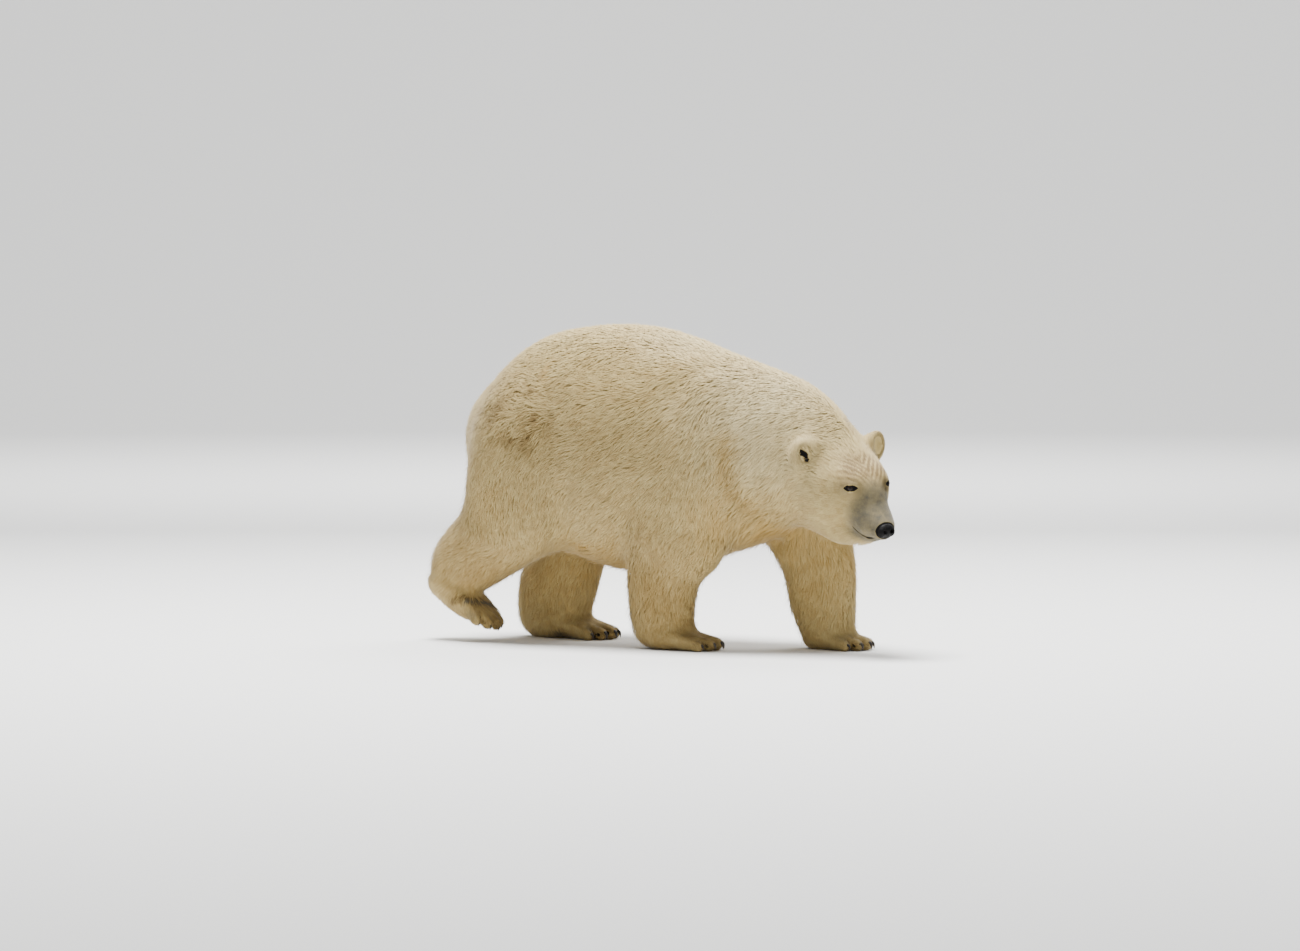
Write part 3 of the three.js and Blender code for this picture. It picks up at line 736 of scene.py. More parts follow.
class BodyForm:
    """The whole bear: the face of its coat, blended from its parts."""

    # How wide the forms flow into one another.
    NECK_FLOW, SWELLING_FLOW, TAIL_FLOW, HEAD_FLOW = 90, 60, 30, 80
    KNEE_FLOW, ANKLE_FLOW, HIP_FLOW = 60, 35, 80
    NEAR_HEAD = 60.0  # only points this near the head are measured against the ears
    NEAR_FOLD = 90.0  # only points this near the coat's face are sunk by folds

    def __init__(self, cupped: bool = True) -> None:
        """Draws every part, the ears with or without their cups.

        Args:
            cupped: Whether the ears have cups.
        """
        self.trunk = Limb([
            (-615, 0, 870, 190, 170, 210),
            (-545, 0, 825, 260, 305, 290),
            (-430, 0, 795, 310, 440, 375),
            (-270, 0, 780, 335, 492, 420),
            (-80, 0, 775, 350, 508, 474),
            (120, 0, 765, 345, 478, 448),
            (280, 0, 760, 310, 420, 388),
            (400, 0, 755, 270, 350, 354),
            (500, 0, 750, 230, 280, 316),
        ], 7)
        self.neck = Limb([
            (300, -20, 780, 265, 340, 350),
            (440, -20, 795, 255, 330, 330),
            (570, -30, 795, 225, 305, 285),
            (690, -50, 770, 200, 262, 262),
            (785, -72, 738, 165, 212, 240),
            (855, -88, 705, 128, 155, 195),
        ], 6)
        self.swellings = [
            Swelling((250, -150, 975), (190, 110, 170), 20),
            Swelling((330, 150, 960), (190, 110, 170), 20),
            Swelling((-440, -190, 790), (210, 140, 260), -8),
            Swelling((-400, 190, 790), (210, 140, 260), 8),
        ]
        self.tail = Limb([
            (-690, 0, 925, 60, 50, 50),
            (-760, 0, 880, 52, 40, 42),
            (-792, 0, 820, 42, 32, 36),
            (-798, 0, 780, 26, 20, 24),
        ])
        self.head = HeadForm(cupped)
        self.legs = [
            (Limb([
                (-430, -120, 900, 150, 200, 200), (-470, -180, 760, 165, 230, 218),
                (-475, -195, 620, 155, 215, 248), (-460, -195, 500, 130, 170, 272),
            ]), Limb([
                (-400, -192, 530, 120, 150, 150), (-540, -184, 460, 118, 164, 165),
                (-680, -174, 375, 108, 156, 156), (-785, -168, 315, 95, 150, 122),
                (-818, -166, 258, 85, 124, 80),
            ])),
            (Limb([
                (-430, 120, 900, 150, 200, 200), (-440, 180, 760, 165, 230, 220),
                (-420, 190, 600, 150, 200, 200), (-425, 175, 450, 125, 155, 160),
            ]), Limb([
                (-435, 170, 450, 122, 155, 160), (-470, 160, 310, 112, 160, 172),
                (-500, 152, 190, 105, 160, 176), (-500, 150, 90, 100, 130, 176),
            ])),
            (Limb([
                (300, -130, 950, 100, 130, 150), (340, -190, 800, 130, 190, 170),
                (290, -205, 620, 138, 200, 180), (210, -198, 450, 124, 212, 190),
            ]), Limb([
                (200, -192, 450, 120, 210, 182), (160, -178, 320, 108, 162, 158),
                (142, -166, 190, 98, 140, 140), (140, -158, 90, 95, 132, 122),
            ])),
            (Limb([
                (330, 130, 950, 100, 130, 150), (420, 185, 790, 130, 180, 175),
                (530, 190, 610, 132, 175, 180), (630, 175, 450, 118, 168, 158),
            ]), Limb([
                (630, 172, 450, 116, 168, 148), (680, 162, 310, 104, 150, 150),
                (700, 155, 190, 97, 133, 144), (708, 150, 90, 95, 122, 104),
            ])),
        ]
        self.feet = [
            Foot(Pose(-754, -166, 124, 0, 31, 0), 137, 30),
            Foot(Pose(-405, 150, 0, -6, 0, 0, 1.06), 162),
            Foot(Pose(228, -156, 0, 6, 0, 0), 70),
            Foot(Pose(744, 150, 0, -4, 0, 0), 64),
        ]

    def survey(self, points: Array) -> Survey:
        """Measures points against the whole body and each of its parts.

        Args:
            points: Body points in millimetres.

        Returns:
            Their survey.
        """
        points = np.asarray(points, np.float32)
        parts = np.full((len(points), len(PLACES)), 1e3, np.float32)
        trunk = self.trunk.distance(points)
        neck = self.neck.distance(points)
        d = blend(trunk, neck, self.NECK_FLOW)
        for swelling in self.swellings:
            d = blend(d, swelling.distance(points), self.SWELLING_FLOW)
        tail = self.tail.distance(points)
        d = blend(d, tail, self.TAIL_FLOW)
        head = self.head.distance(points)
        near = head < self.NEAR_HEAD
        ears = np.full(len(points), 1e3, np.float32)
        if near.any():
            ears[near] = self.head.forms(points[near])[1]
        d = blend(d, head, self.HEAD_FLOW)
        parts[:, :LEG] = np.stack([trunk, neck, head, ears, tail], axis=1)
        for i, ((upper, lower), foot) in enumerate(zip(self.legs, self.feet)):
            sole = foot.distance(points)
            leg = blend(upper.distance(points), lower.distance(points), self.KNEE_FLOW)
            d = blend(d, blend(leg, sole, self.ANKLE_FLOW), self.HIP_FLOW)
            parts[:, LEG + i], parts[:, FOOT + i] = leg, sole
        near = np.abs(d) < self.NEAR_FOLD
        if near.any():
            d[near] += sum(fold.sink(points[near]) for fold in FOLDS)
        return Survey(d, parts)

    def distance(self, points: Array) -> Array:
        """Gives the distance of points from the face of the coat."""
        return self.survey(points).distance

    def lie(self, points: Array, weights: Array) -> Array:
        """Says which way the coat runs, before it is laid flat on the skin.

        Args:
            points: Roots of the coat.
            weights: How much each of PLACES counts at each root.

        Returns:
            A direction for each root.
        """
        guides = np.zeros((len(points), len(PLACES), 3))
        guides[:, TRUNK] = unit(np.array([-0.82, 0.0, -0.5]))
        guides[:, NECK] = unit(np.array([-0.72, 0.0, -0.62]))
        pose = self.head.POSE
        own = pose.inside(points)
        guides[:, HEAD] = unit(own - (395.0, 0.0, -55.0)) @ pose.axes.T
        same = np.ones(len(points))
        tip = self.head.ear_axes[:, 2] * np.stack([same, np.sign(own[:, 1]), same], axis=1)
        guides[:, EAR] = tip @ pose.axes.T
        guides[:, TAIL] = self.tail.headings[self.tail.nearest(points)[1]]
        for i, ((upper, lower), foot) in enumerate(zip(self.legs, self.feet)):
            near_up, which_up = upper.nearest(points)
            near_low, which_low = lower.nearest(points)
            above = (near_up < near_low)[:, None]
            down = np.where(above, upper.headings[which_up], lower.headings[which_low])
            guides[:, LEG + i] = unit(down + (-0.12, 0.0, -0.45))
            guides[:, FOOT + i] = unit(foot.pose.inside(points) - (-60.0, 0.0, 130.0)) @ foot.pose.axes.T
        return unit(np.einsum("np,npi->ni", weights, guides))


# ---- measured grids
class Grid:
    """Distances from the coat's face on a regular grid, exact near the face."""

    COARSE = 4  # cells to one of the rough grid's, which is measured first

    def __init__(
        self, body: BodyForm, low: Array, high: Array, cell: float, inner: float, outer: float
    ) -> None:
        """Measures the grid.

        Args:
            body: The forms to measure.
            low: The grid's lowest corner.
            high: Its highest corner.
            cell: Its spacing.
            inner: How deep inside the face values are exact.
            outer: How far outside the face they are exact.
        """
        self.low, self.cell = np.asarray(low, float), cell
        wide = cell * self.COARSE
        count = np.ceil((np.asarray(high) - self.low) / wide).astype(int) + 1
        rough = body.distance(lattice(self.low, count, wide)).reshape(count)
        for axis in range(3):
            rough = self.finer(rough, axis, self.COARSE)
        margin = wide * 0.5
        exact = (rough > -inner - margin) & (rough < outer + margin)
        where = np.argwhere(exact)
        survey = body.survey(where * cell + self.low)
        rough[exact] = survey.distance
        self.values = rough.astype(np.float32)
        self.exact, self.survey = exact, survey
        slopes = np.gradient(self.values, cell)
        self.stack = np.stack([self.values, *slopes], axis=-1).astype(np.float32)
        LOG.info("grid of %s points, %d measured", self.values.shape, len(where))

    @staticmethod
    def finer(values: Array, axis: int, times: int) -> Array:
        """Fills in values between those along one axis.

        Args:
            values: The coarse values.
            axis: The axis to fill along.
            times: How many new steps to an old one.

        Returns:
            The fine values.
        """
        values = np.moveaxis(values, axis, 0)
        t = np.arange((len(values) - 1) * times + 1) / times
        i = np.minimum(t.astype(int), len(values) - 2)
        f = (t - i).reshape(-1, 1, 1)
        return np.moveaxis(values[i] * (1 - f) + values[i + 1] * f, 0, axis)

    def holds(self, points: Array) -> Array:
        """Says which points the grid covers."""
        q = (points - self.low) / self.cell
        return ((q >= 0) & (q < np.array(self.values.shape) - 1.001)).all(axis=1)

    def read(self, points: Array) -> tuple[Array, Array]:
        """Reads distances and outward directions between the grid's points.

        Args:
            points: Body points in millimetres.

        Returns:
            Distances and directions.
        """
        q = np.clip((points - self.low) / self.cell, 0, np.array(self.values.shape) - 1.002)
        base = q.astype(np.int64)
        f = (q - base).astype(np.float32)
        total = np.zeros((len(points), 4), np.float32)
        for step, weight in corners_of(f):
            total += weight[:, None] * self.stack[tuple((base + step).T)]
        return total[:, 0], unit(total[:, 1:])


class Surroundings:
    """A coarse grid for the whole body with a fine one for the head inside it."""

    LOW = np.array([-960.0, -400.0, -32.0])  # a box with the whole bear in it
    HIGH = np.array([1230.0, 400.0, 1340.0])
    MARGIN = 20.0  # of the fine grid round the head

    def __init__(self, body: BodyForm) -> None:
        """Measures both grids.

        Args:
            body: The bear's forms.
        """
        self.coarse = Grid(body, self.LOW, self.HIGH, 9.0, 34.0, 12.0)
        low, high = body.head.low - self.MARGIN, body.head.high + self.MARGIN
        self.fine = Grid(body, low, high, 4.5, 14.0, 7.0)

    def read(self, points: Array) -> tuple[Array, Array]:
        """Reads distances and outward directions from the finer grid that covers each point.

        Args:
            points: Body points in millimetres.

        Returns:
            Distances and directions.
        """
        distance, outward = self.coarse.read(points)
        inside = self.fine.holds(points)
        if inside.any():
            distance[inside], outward[inside] = self.fine.read(points[inside])
        return distance, outward


# ---- the face
@dataclass
class EyeSeat:
    """Where one eye sits, read from its solid: x runs ahead, z out of the head."""

    middle: Array
    radius: float
    axes: Array

    HALF_LONG = 17.5  # the opening between the lids
    HALF_HIGH = 8.2
    LID = 3.6  # thickness over the eyeball

    @classmethod
    def of(cls, node: str, body: BodyForm) -> "EyeSeat":
        """Finds the seat of a CAD eye.

        Args:
            node: The eye's name.
            body: The forms that it looks out of.

        Returns:
            The seat, in body millimetres.
        """
        low, high = (to_body(corner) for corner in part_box(node))
        middle = (low + high) / 2
        steps = np.eye(3) * 2.0
        out = unit(body.distance(middle + steps * 4) - body.distance(middle - steps * 4))
        ahead = np.array([1.0, 0.0, 0.45]) @ body.head.POSE.axes.T
        ahead = unit(ahead - out * (ahead @ out))
        up = np.cross(out, ahead)
        if up[2] < 0:
            up = -up
        return cls(middle, float((high - low).mean() / 2), np.stack([ahead, up, out], axis=1))

    def inside(self, points: Array) -> Array:
        """Turns body points into the eye's own frame."""
        return (points - self.middle) @ self.axes

    @staticmethod
    def almond(q: Array, long: float, high: float) -> Array:
        """Gives the distance from a pointed oval in the eye's frame, negative inside.

        Args:
            q: Points of the eye's frame.
            long: Half its length.
            high: Half its height.

        Returns:
            Distances, negative inside.
        """
        radius = (long * long + high * high) / (2 * high)
        shift = radius - high
        return np.maximum(np.hypot(q[:, 0], q[:, 1] + shift), np.hypot(q[:, 0], q[:, 1] - shift)) - radius


class Face:
    """What the skin of the head adds to its form: lids, lips, nostril wings, folds and ear holes."""

    LIPS = (
        (243, -70, -133), (262, -65, -140), (285, -57, -145), (308, -47, -144),
        (326, -35, -140), (338, -22, -135), (345, 0, -132),
    )
    NOSE_AT = np.array([348.0, 0.0, -89.0])
    NOSE_HALVES = np.array([26.0, 35.0, 27.0])
    LID_FLOW, LID_EDGE = 9, 1.6  # how wide lids flow into the socket, and round into the opening
    HOLE_SCALE, HOLE_EDGE = 9.0, 3.0  # how deep an ear's hole counts, and its rounded rim
    NEAR_EYE = 60.0

    def __init__(self, body: BodyForm) -> None:
        """Finds the eyes and lays the lips on the muzzle.

        Args:
            body: The bear's forms.
        """
        self.body = body
        self.pose = body.head.POSE
        self.eyes = [EyeSeat.of("eye_left", body), EyeSeat.of("eye_right", body)]
        half = [np.array(p, float) for p in self.LIPS]
        line = np.array(half + [p * (1, -1, 1) for p in half[-2::-1]])
        t = np.linspace(0, 1, 61)
        smooth = self.pose.outside(np.array([Limb.along(line, s) for s in t]))
        for _ in range(4):
            value, outward = self.slope(smooth, body.distance)
            smooth = smooth - outward * value[:, None]
        self.lips = smooth

    @staticmethod
    def slope(points: Array, distance: Callable[[Array], Array], step: float = 0.8) -> tuple[Array, Array]:
        """Measures points and which way is outward at each.

        Args:
            points: Places to measure.
            distance: What measures them.
            step: How far apart the slope is taken.

        Returns:
            The distances, and outward directions divided by how steep the distance is.
        """
        corners = np.array([(1, -1, -1), (-1, -1, 1), (-1, 1, -1), (1, 1, 1)], float)
        stack = np.concatenate([points + c * step for c in corners])
        values = distance(stack).reshape(4, -1)
        gradient = np.einsum("cn,ci->ni", values, corners) / (4 * step)
        steep = np.maximum((gradient**2).sum(axis=1, keepdims=True), 0.15)
        return values.mean(axis=0), gradient / steep

    def to_lips(self, points: Array) -> Array:
        """Gives the distance of points from the line of the mouth."""
        return np.sqrt(off_line(points, self.lips))

    def coat_depth(self, own: Array) -> Array:
        """Gives the depth of the coat on the head, in the head's frame.

        Args:
            own: Points of the head's frame.

        Returns:
            Depths in millimetres.
        """
        x, _, z = own.T
        depth = 5.6 - 3.0 * ease(110, 265, x)
        return depth + 4.5 * ease(60, -40, x) * ease(-20, -120, z)

    def shape(self, points: Array, distance: Array) -> Array:
        """Adds the face's details to the skin's distance.

        Args:
            points: Body points near the head.
            distance: The skin's plain distance there.

        Returns:
            The distance with lids, lips, folds, nose wings and ear holes.
        """
        own = self.pose.inside(points)
        x, y, z = own.T
        d = distance.astype(float)
        for eye in self.eyes:
            q = eye.inside(points)
            near = lengths(q) < self.NEAR_EYE
            q = q[near]
            along, up, out = q.T
            r = lengths(q)
            opening = eye.almond(q, eye.HALF_LONG, eye.HALF_HIGH)
            value = d[near]
            socket = 2.2 * bell((along - 4) / 34) * bell(up / 26)
            value = blend(value + socket, r - eye.radius - eye.LID, self.LID_FLOW)
            crease = np.where(up > 0, 1.0, 0.7) * 1.5 * bell((opening - 6.5) / 2)
            value = value + crease * (out > 0)
            slot = np.maximum(opening, eye.radius - 3.5 - out)
            d[near] = carve(value, slot, self.LID_EDGE)
        near = (x > 215) & (z < -60)
        if near.any():
            r = self.to_lips(points[near])
            groove = 3.0 * bell(r / 2.6)
            above = z[near] > -140
            rim = np.where(above, 1.6, 0.9) * bell((r - 6) / 4)
            d[near] += groove - rim
        cheek_fold = 1.6 * bell((x - 215) / 14) * bell((z + 105) / 40)
        pads = 3.2 * swell(mirrored(own), (296, 46, -108), (26, 22, 20))
        ahead = ease(60, 110, x) * ease(300, 220, x)
        furrow = 2.2 * bell(y / 9) * ahead
        d += cheek_fold - pads + furrow * (z > -40)
        brows = np.zeros(len(points))
        for eye in self.eyes:
            along, up, _ = eye.inside(points).T
            where = bell((along + 16) / 34) * bell((up - 32) / 17)
            brows += where * np.sin((up * 0.92 + along * 0.55) / 1.9) * 1.1
        d += brows * (z > -40)
        hole = lengths((self.body.head.in_ear(own) - (14, 8, 46)) / (22, 13, 25))
        return carve(d, (hole - 1.0) * self.HOLE_SCALE, self.HOLE_EDGE)

    def bare(self, points: Array) -> Array:
        """Says how far the skin is black: bare lids, lips and nose, and painted shade in the near ear's hole
        and between the toes' ends, 0 to 1.

        Args:
            points: Body points in millimetres.

        Returns:
            The share of black skin at each, bare skin and painted shade alike.
        """
        own = self.pose.inside(points)
        x, y, z = own.T
        bare = np.zeros(len(points))
        for eye in self.eyes:
            q = eye.inside(points)
            rim = eye.almond(q, 30.0, 12.5)
            bare = np.maximum(bare, ease(2.5, -1.0, rim) * (q[:, 2] > 0) * (lengths(q) < 48))
        near = (x > 205) & (z < -60)
        if near.any():
            r = self.to_lips(points[near])
            wider = 3.2 + 4.5 * ease(285, 335, x[near])
            bare[near] = np.maximum(bare[near], np.where(r < wider, 1.0, ease(wider + 4.0, wider, r)))
        nose = (lengths((own - self.NOSE_AT) / self.NOSE_HALVES) - 1.0) * 28.0
        bare = np.maximum(bare, ease(5.5, 2.5, nose))
        # Painted shade: the near ear's hole is black, but for a pale tuft across it.
        ear = self.body.head.in_ear(own)
        hole = np.hypot((ear[:, 1] - 10 - 0.2 * (ear[:, 2] - 50)) / 13, (ear[:, 2] - 50) / 26)
        tuft = ease(1.1, 0.7, np.hypot((ear[:, 1] - 18) / 11, (ear[:, 2] - 49) / 7))
        hole = ease(1.12, 0.88, hole) * (1.0 - tuft) * (ear[:, 0] > 0) * (y < 0)
        # Painted shade: black in the gaps between the toes' ends.
        toes = np.zeros(len(points))
        for foot in self.body.feet:
            q, gap = foot.toe_gaps(points)
            ahead = ease(88, 100, q[:, 0]) * ease(48, 36, q[:, 2]) * (np.abs(q[:, 1]) < 90)
            toes = np.maximum(toes, 0.8 * ease(6, 3, gap) * ahead)
        return np.maximum(np.maximum(bare, toes), hole)


# ---- markings
class Mark(Enum):
    """What tints the coat, as its own tones and as painted shade and painted light; each is a channel of the
    colour attribute `marks`.
    """

    TAN = 0
    # Real dirt, and painted shade in creases, ear cups and toe gaps, under the body and on its less lit
    # sides.
    DIRT = 1
    # The muzzle's grey, and painted shade in the near hind foot's crease and where the far hind foot meets
    # the floor.
    GREY = 2
    # Paler fur on the neck, and painted light along the top of the back.
    PALE = 3


@dataclass(frozen=True)
class Patch:
    """A soft egg of colour on the coat."""

    at: Numbers
    halves: Numbers
    strength: float


PATCHES = {
    Mark.TAN: (
        Patch((560, -20, 470), (260, 260, 150), 1.0),
        Patch((430, -230, 560), (120, 130, 190), 0.7),
        Patch((160, -180, 250), (240, 200, 300), 0.75),
        Patch((690, 160, 400), (260, 200, 330), 0.7),
        Patch((-650, -180, 300), (260, 170, 230), 0.8),
        Patch((-540, -200, 560), (170, 170, 200), 0.5),
        Patch((-480, 170, 380), (260, 190, 300), 0.95),
        Patch((-60, 0, 320), (560, 320, 160), 1.2),
        Patch((60, -150, 1130), (360, 260, 170), 0.25),
        Patch((-181, -190, 385), (60, 70, 45), 1.5),
        Patch((-317, -270, 1090), (26, 90, 60), 1.0),
    ),
    Mark.DIRT: (
        # Belly and near flank: partly their own stain, partly painted shade where less light falls.
        Patch((-60, -60, 330), (480, 260, 110), 0.3),
        Patch((-150, -330, 740), (640, 230, 390), 0.48),
        Patch((-430, -240, 930), (170, 200, 150), 0.5),
        Patch((-540, -160, 820), (130, 170, 170), 0.35),
        # Near hind and fore legs: partly their own stain, partly painted shade where less light falls.
        Patch((-620, -200, 330), (260, 200, 300), 0.58),
        Patch((160, -220, 300), (240, 200, 400), 0.62),
        # Far hind leg: partly its own darker tone, partly painted shade on the far side.
        Patch((-470, 160, 400), (230, 190, 170), 0.5),
        Patch((640, 60, 360), (120, 120, 300), 0.2),
        Patch((-612, -145, 75), (26, 60, 40), 1.2),
        # Painted shade where the far hind foot meets the floor.
        Patch((-455, 60, 14), (50, 60, 24), 1.1),
    ),
    Mark.GREY: (
        # Painted shade in the crease between the near hind shank and its foot.
        Patch((-682, -255, 139), (40, 30, 28), 0.9),
        # Painted shade where the far hind foot meets the floor.
        Patch((-455, 60, 12), (42, 60, 18), 0.7),
    ),
    Mark.PALE: (
        Patch((600, -190, 930), (290, 250, 290), 0.65),
        # Painted light along the top of the back.
        Patch((300, -60, 1220), (420, 220, 120), 0.35),
    ),
}
# Narrow marks along creases, most of them painted shade in the crease; a fold's depth is the mark's strength.
STREAKS = (
    (Mark.TAN, Fold(((502, -285, 838), (496, -290, 722), (528, -246, 635), (584, -165, 542),
                     (639, -73, 492), (725, 64, 448)), 0.7, 58, False)),
    # Painted shade in the crease between the neck and the near shoulder.
    (Mark.DIRT, Fold(((496, -290, 722), (528, -246, 635), (584, -165, 542)), 0.35, 34, False)),
    # Painted shade in the crease between the near hind shank and its foot.
    (Mark.DIRT, Fold(((-770, -240, 186), (-697, -222, 173), (-678, -117, 160)), 2.0, 14, False)),
    (Mark.GREY, Fold(((-715, -232, 174), (-690, -200, 170), (-678, -117, 160)), 1.1, 9, False)),
    # Painted shade along the near foreleg's elbow crease.
    (Mark.DIRT, Fold(((145, -325, 510), (125, -305, 470), (95, -270, 430)), 0.7, 30, False)),
    (Mark.DIRT, Fold(((318, -240, 36), (328, -205, 50), (338, -150, 60)), 0.9, 12, False)),
    (Mark.DIRT, Fold(((-400, 30, 52), (-340, 30, 60), (-290, 60, 66)), 0.8, 16, False)),
)


def markings(body: BodyForm, face: Face, points: Array) -> Array:
    """Works out the coat's markings, painted shade and painted light among them, which skin and coat share.

    Args:
        body: The bear's forms.
        face: The bear's face.
        points: Body points on the skin.

    Returns:
        A row of four strengths for each point, one for each Mark.
    """
    marks = np.zeros((len(points), len(Mark)))

    def deepen(mark: Mark, strength: Array) -> None:
        """Raises one mark to a strength where it is weaker."""
        marks[:, mark.value] = np.maximum(marks[:, mark.value], strength)

    warp = np.stack([noise(points, 120, 11 + i) for i in range(3)], axis=1) * 35.0
    for mark, patches in PATCHES.items():
        for patch in patches:
            r2 = (((points + warp - patch.at) / patch.halves) ** 2).sum(axis=1)
            deepen(mark, patch.strength * np.exp(-1.1 * r2))
    for mark, line in STREAKS:
        deepen(mark, line.sink(points + warp * 0.2))
    own = face.pose.inside(points)
    x, y, z = own.T
    head = ease(25, -5, body.head.distance(points))
    muzzle = ease(185, 265, x) * ease(-178, -150, z) * head
    around_eye = np.zeros(len(points))
    for eye in face.eyes:
        around_eye = np.maximum(around_eye, swell(eye.inside(points), (0, 0, 0), (52, 36, 60)))
    mottle = 1.0 + 0.12 * noise(points, 16, 14)
    deepen(Mark.GREY, muzzle * mottle)
    deepen(Mark.GREY, 0.5 * around_eye * head)
    clumps = swell(points, (-400, -280, 900), (230, 220, 210))
    deepen(Mark.DIRT, 1.3 * clumps * np.clip(0.25 + noise(points, 60, 16) + noise(points, 30, 17), 0, 1))
    # The forehead's own brown, darker in stripes that are painted shade in its furrows.
    aside = np.maximum(np.abs(y) - 30, 0)
    forehead = bell((x - 160) / 48) * bell(aside / 50) * ease(-5, 15, z) * head
    ripple = (x + np.abs(y) * 1.5) / 4.6 + 2.4 * noise(points, 42, 15)
    furrow_shade = 0.6 + 0.38 * np.sin(ripple) + 0.16 * noise(points, 22, 18)
    deepen(Mark.DIRT, np.minimum(3.2 * forehead, 1.7) * furrow_shade)
    ear = body.head.in_ear(own)
    # Painted shade inside both ears' cups.
    cup = bell((ear[:, 1] - 4) / 22) * bell((ear[:, 2] - 48) / 30) * (ear[:, 0] > 5)
    deepen(Mark.DIRT, 0.9 * cup)
    # Painted shade in the gaps between the toes.
    for foot in body.feet:
        q, gap = foot.toe_gaps(points)
        deepen(Mark.DIRT, 1.2 * bell(gap / 12) * ease(60, 100, q[:, 0]) * ease(62, 40, q[:, 2]))
    return marks


# ---- the skin
@dataclass
class Skin:
    """The bear's one skin, which stands for all its nodes of flesh."""

    body: BodyForm
    face: Face
    around: Surroundings
    name: str = "skin"
    vertices: Array = field(default_factory=lambda: np.zeros((0, 3)))
    triangles: Array = field(default_factory=lambda: np.zeros((0, 3), int))
    corners_uv: Array = field(default_factory=lambda: np.zeros((0, 3, 2)))
    normals: Array = field(default_factory=lambda: np.zeros((0, 3)))

    NET_CELL = 12.0  # spacing of the first even net
    DEPTHS = np.array([COATS[p].depth for p in PLACES])

    def depth(self, points: Array, survey: Survey) -> Array:
        """Gives the coat's depth over points.

        Args:
            points: Body points in millimetres.
            survey: What the forms say about them.

        Returns:
            Depths in millimetres.
        """
        weights = survey.weights()
        depth = weights @ self.DEPTHS
        head = weights[:, COLUMN[Place.HEAD]]
        own = self.body.head.POSE.inside(points)
        return depth + head * (self.face.coat_depth(own) - COATS[Place.HEAD].depth)

    def distance(self, points: Array) -> Array:
        """Gives the distance of points from the skin, with all its details.

        Args:
            points: Body points in millimetres.

        Returns:
            Distances, negative inside.
        """
        survey = self.body.survey(points)
        d = survey.distance + self.depth(points, survey)
        near = survey.parts[:, HEAD] < 40
        if near.any():
            d[near] = self.face.shape(points[near], d[near])
        return d

    def settle(self, points: Array, turns: int, most: float) -> Array:
        """Moves points onto the skin, by no more than `most` a turn.

        Args:
            points: Body points in millimetres.
            turns: How many times to move them.
            most: The longest move.

        Returns:
            The moved points.
        """
        for _ in range(turns):
            value, outward = Face.slope(points, self.distance)
            step = -outward * value[:, None]
            size = np.linalg.norm(step, axis=1, keepdims=True)
            points = points + step * np.minimum(1.0, most / np.maximum(size, 1e-6))
        return points

    def net(self) -> tuple[Array, Array]:
        """Draws the skin's first even net of quads, with ears that have no cups yet.

        Returns:
            Its points and its quads.
        """
        wide = self.around.coarse
        high = wide.low + wide.cell * np.array(wide.values.shape)
        grid = Grid(BodyForm(cupped=False), wide.low, high, self.NET_CELL, 32.0, 4.0)
        values = grid.values.copy() + 20.0
        where = np.argwhere(grid.exact)
        points = where * grid.cell + grid.low
        values[grid.exact] = grid.survey.distance + self.depth(points, grid.survey)
        points, quads = surface(values, 100.0)
        return points * grid.cell + grid.low, quads

    def refine(self, mesh: bmesh.types.BMesh, chosen: Callable[[Array], Array]) -> None:
        """Halves the edges of the faces whose middles are chosen.

        Args:
            mesh: The mesh to refine.
            chosen: What picks faces by their middles.
        """
        middles = np.array([f.calc_center_median() for f in mesh.faces])
        flags = chosen(middles)
        faces = [f for f, flag in zip(mesh.faces, flags) if flag]
        edges = {e for f in faces for e in f.edges}
        bmesh.ops.subdivide_edges(mesh, edges=list(edges), cuts=1, use_grid_fill=True)

    def on_head(self, points: Array) -> Array:
        """Chooses points on the head and ears."""
        own = self.body.head.POSE.inside(points)
        return (self.body.head.distance(points) < 6) & (own[:, 0] > -60)

    def on_foot(self, points: Array) -> Array:
        """Chooses points on the feet."""
        near = np.min([foot.distance(points) for foot in self.body.feet], axis=0)
        return near < 4

    def on_details(self, points: Array) -> Array:
        """Chooses points round the eyes, mouth and nose and on the ears.

        Args:
            points: Body points in millimetres.

        Returns:
            True where a point is chosen.
        """
        own = self.body.head.POSE.inside(points)
        chosen = (own[:, 0] > 262) & self.on_head(points)
        for eye in self.face.eyes:
            chosen |= lengths(points - eye.middle) < 42
        return chosen | ((self.body.head.ears(own) < 4) & (np.abs(own[:, 1]) > 120))

    def on_lids(self, points: Array) -> Array:
        """Chooses points on the lids and lips.

        Args:
            points: Body points in millimetres.

        Returns:
            True where a point is chosen.
        """
        chosen = self.face.to_lips(points) < 8
        for eye in self.face.eyes:
            chosen |= lengths(points - eye.middle) < 29
        return chosen

    def make(self) -> bpy.types.Object:
        """Builds the skin's mesh and dresses it.

        Returns:
            The skin's object.
        """
        points, quads = self.net()
        mesh = drawn(self.name, points, quads)
        work = bmesh.new()
        work.from_mesh(mesh)
        for chosen in (lambda p: self.on_head(p) | self.on_foot(p), self.on_details, self.on_lids):
            self.refine(work, chosen)
            LOG.info("skin refined to %d faces", len(work.faces))
        bmesh.ops.triangulate(work, faces=[f for f in work.faces if len(f.verts) > 4])
        work.to_mesh(mesh)
        work.free()
        points = self.read(mesh.vertices, "co", 3)
        points = self.settle(points, 2, 3.0)
        head = self.on_head(points)
        for _ in range(3):
            points = self.relaxed(mesh, points, head, 0.4)
            points[head] = self.settle(points[head], 2, 4.0)
        mesh.vertices.foreach_set("co", to_metres(points).ravel())
        smoothed(mesh)
        mesh.update()
        skin = placed(self.name, mesh)
        self.unwrap(skin)
        self.remember(mesh)
        return skin

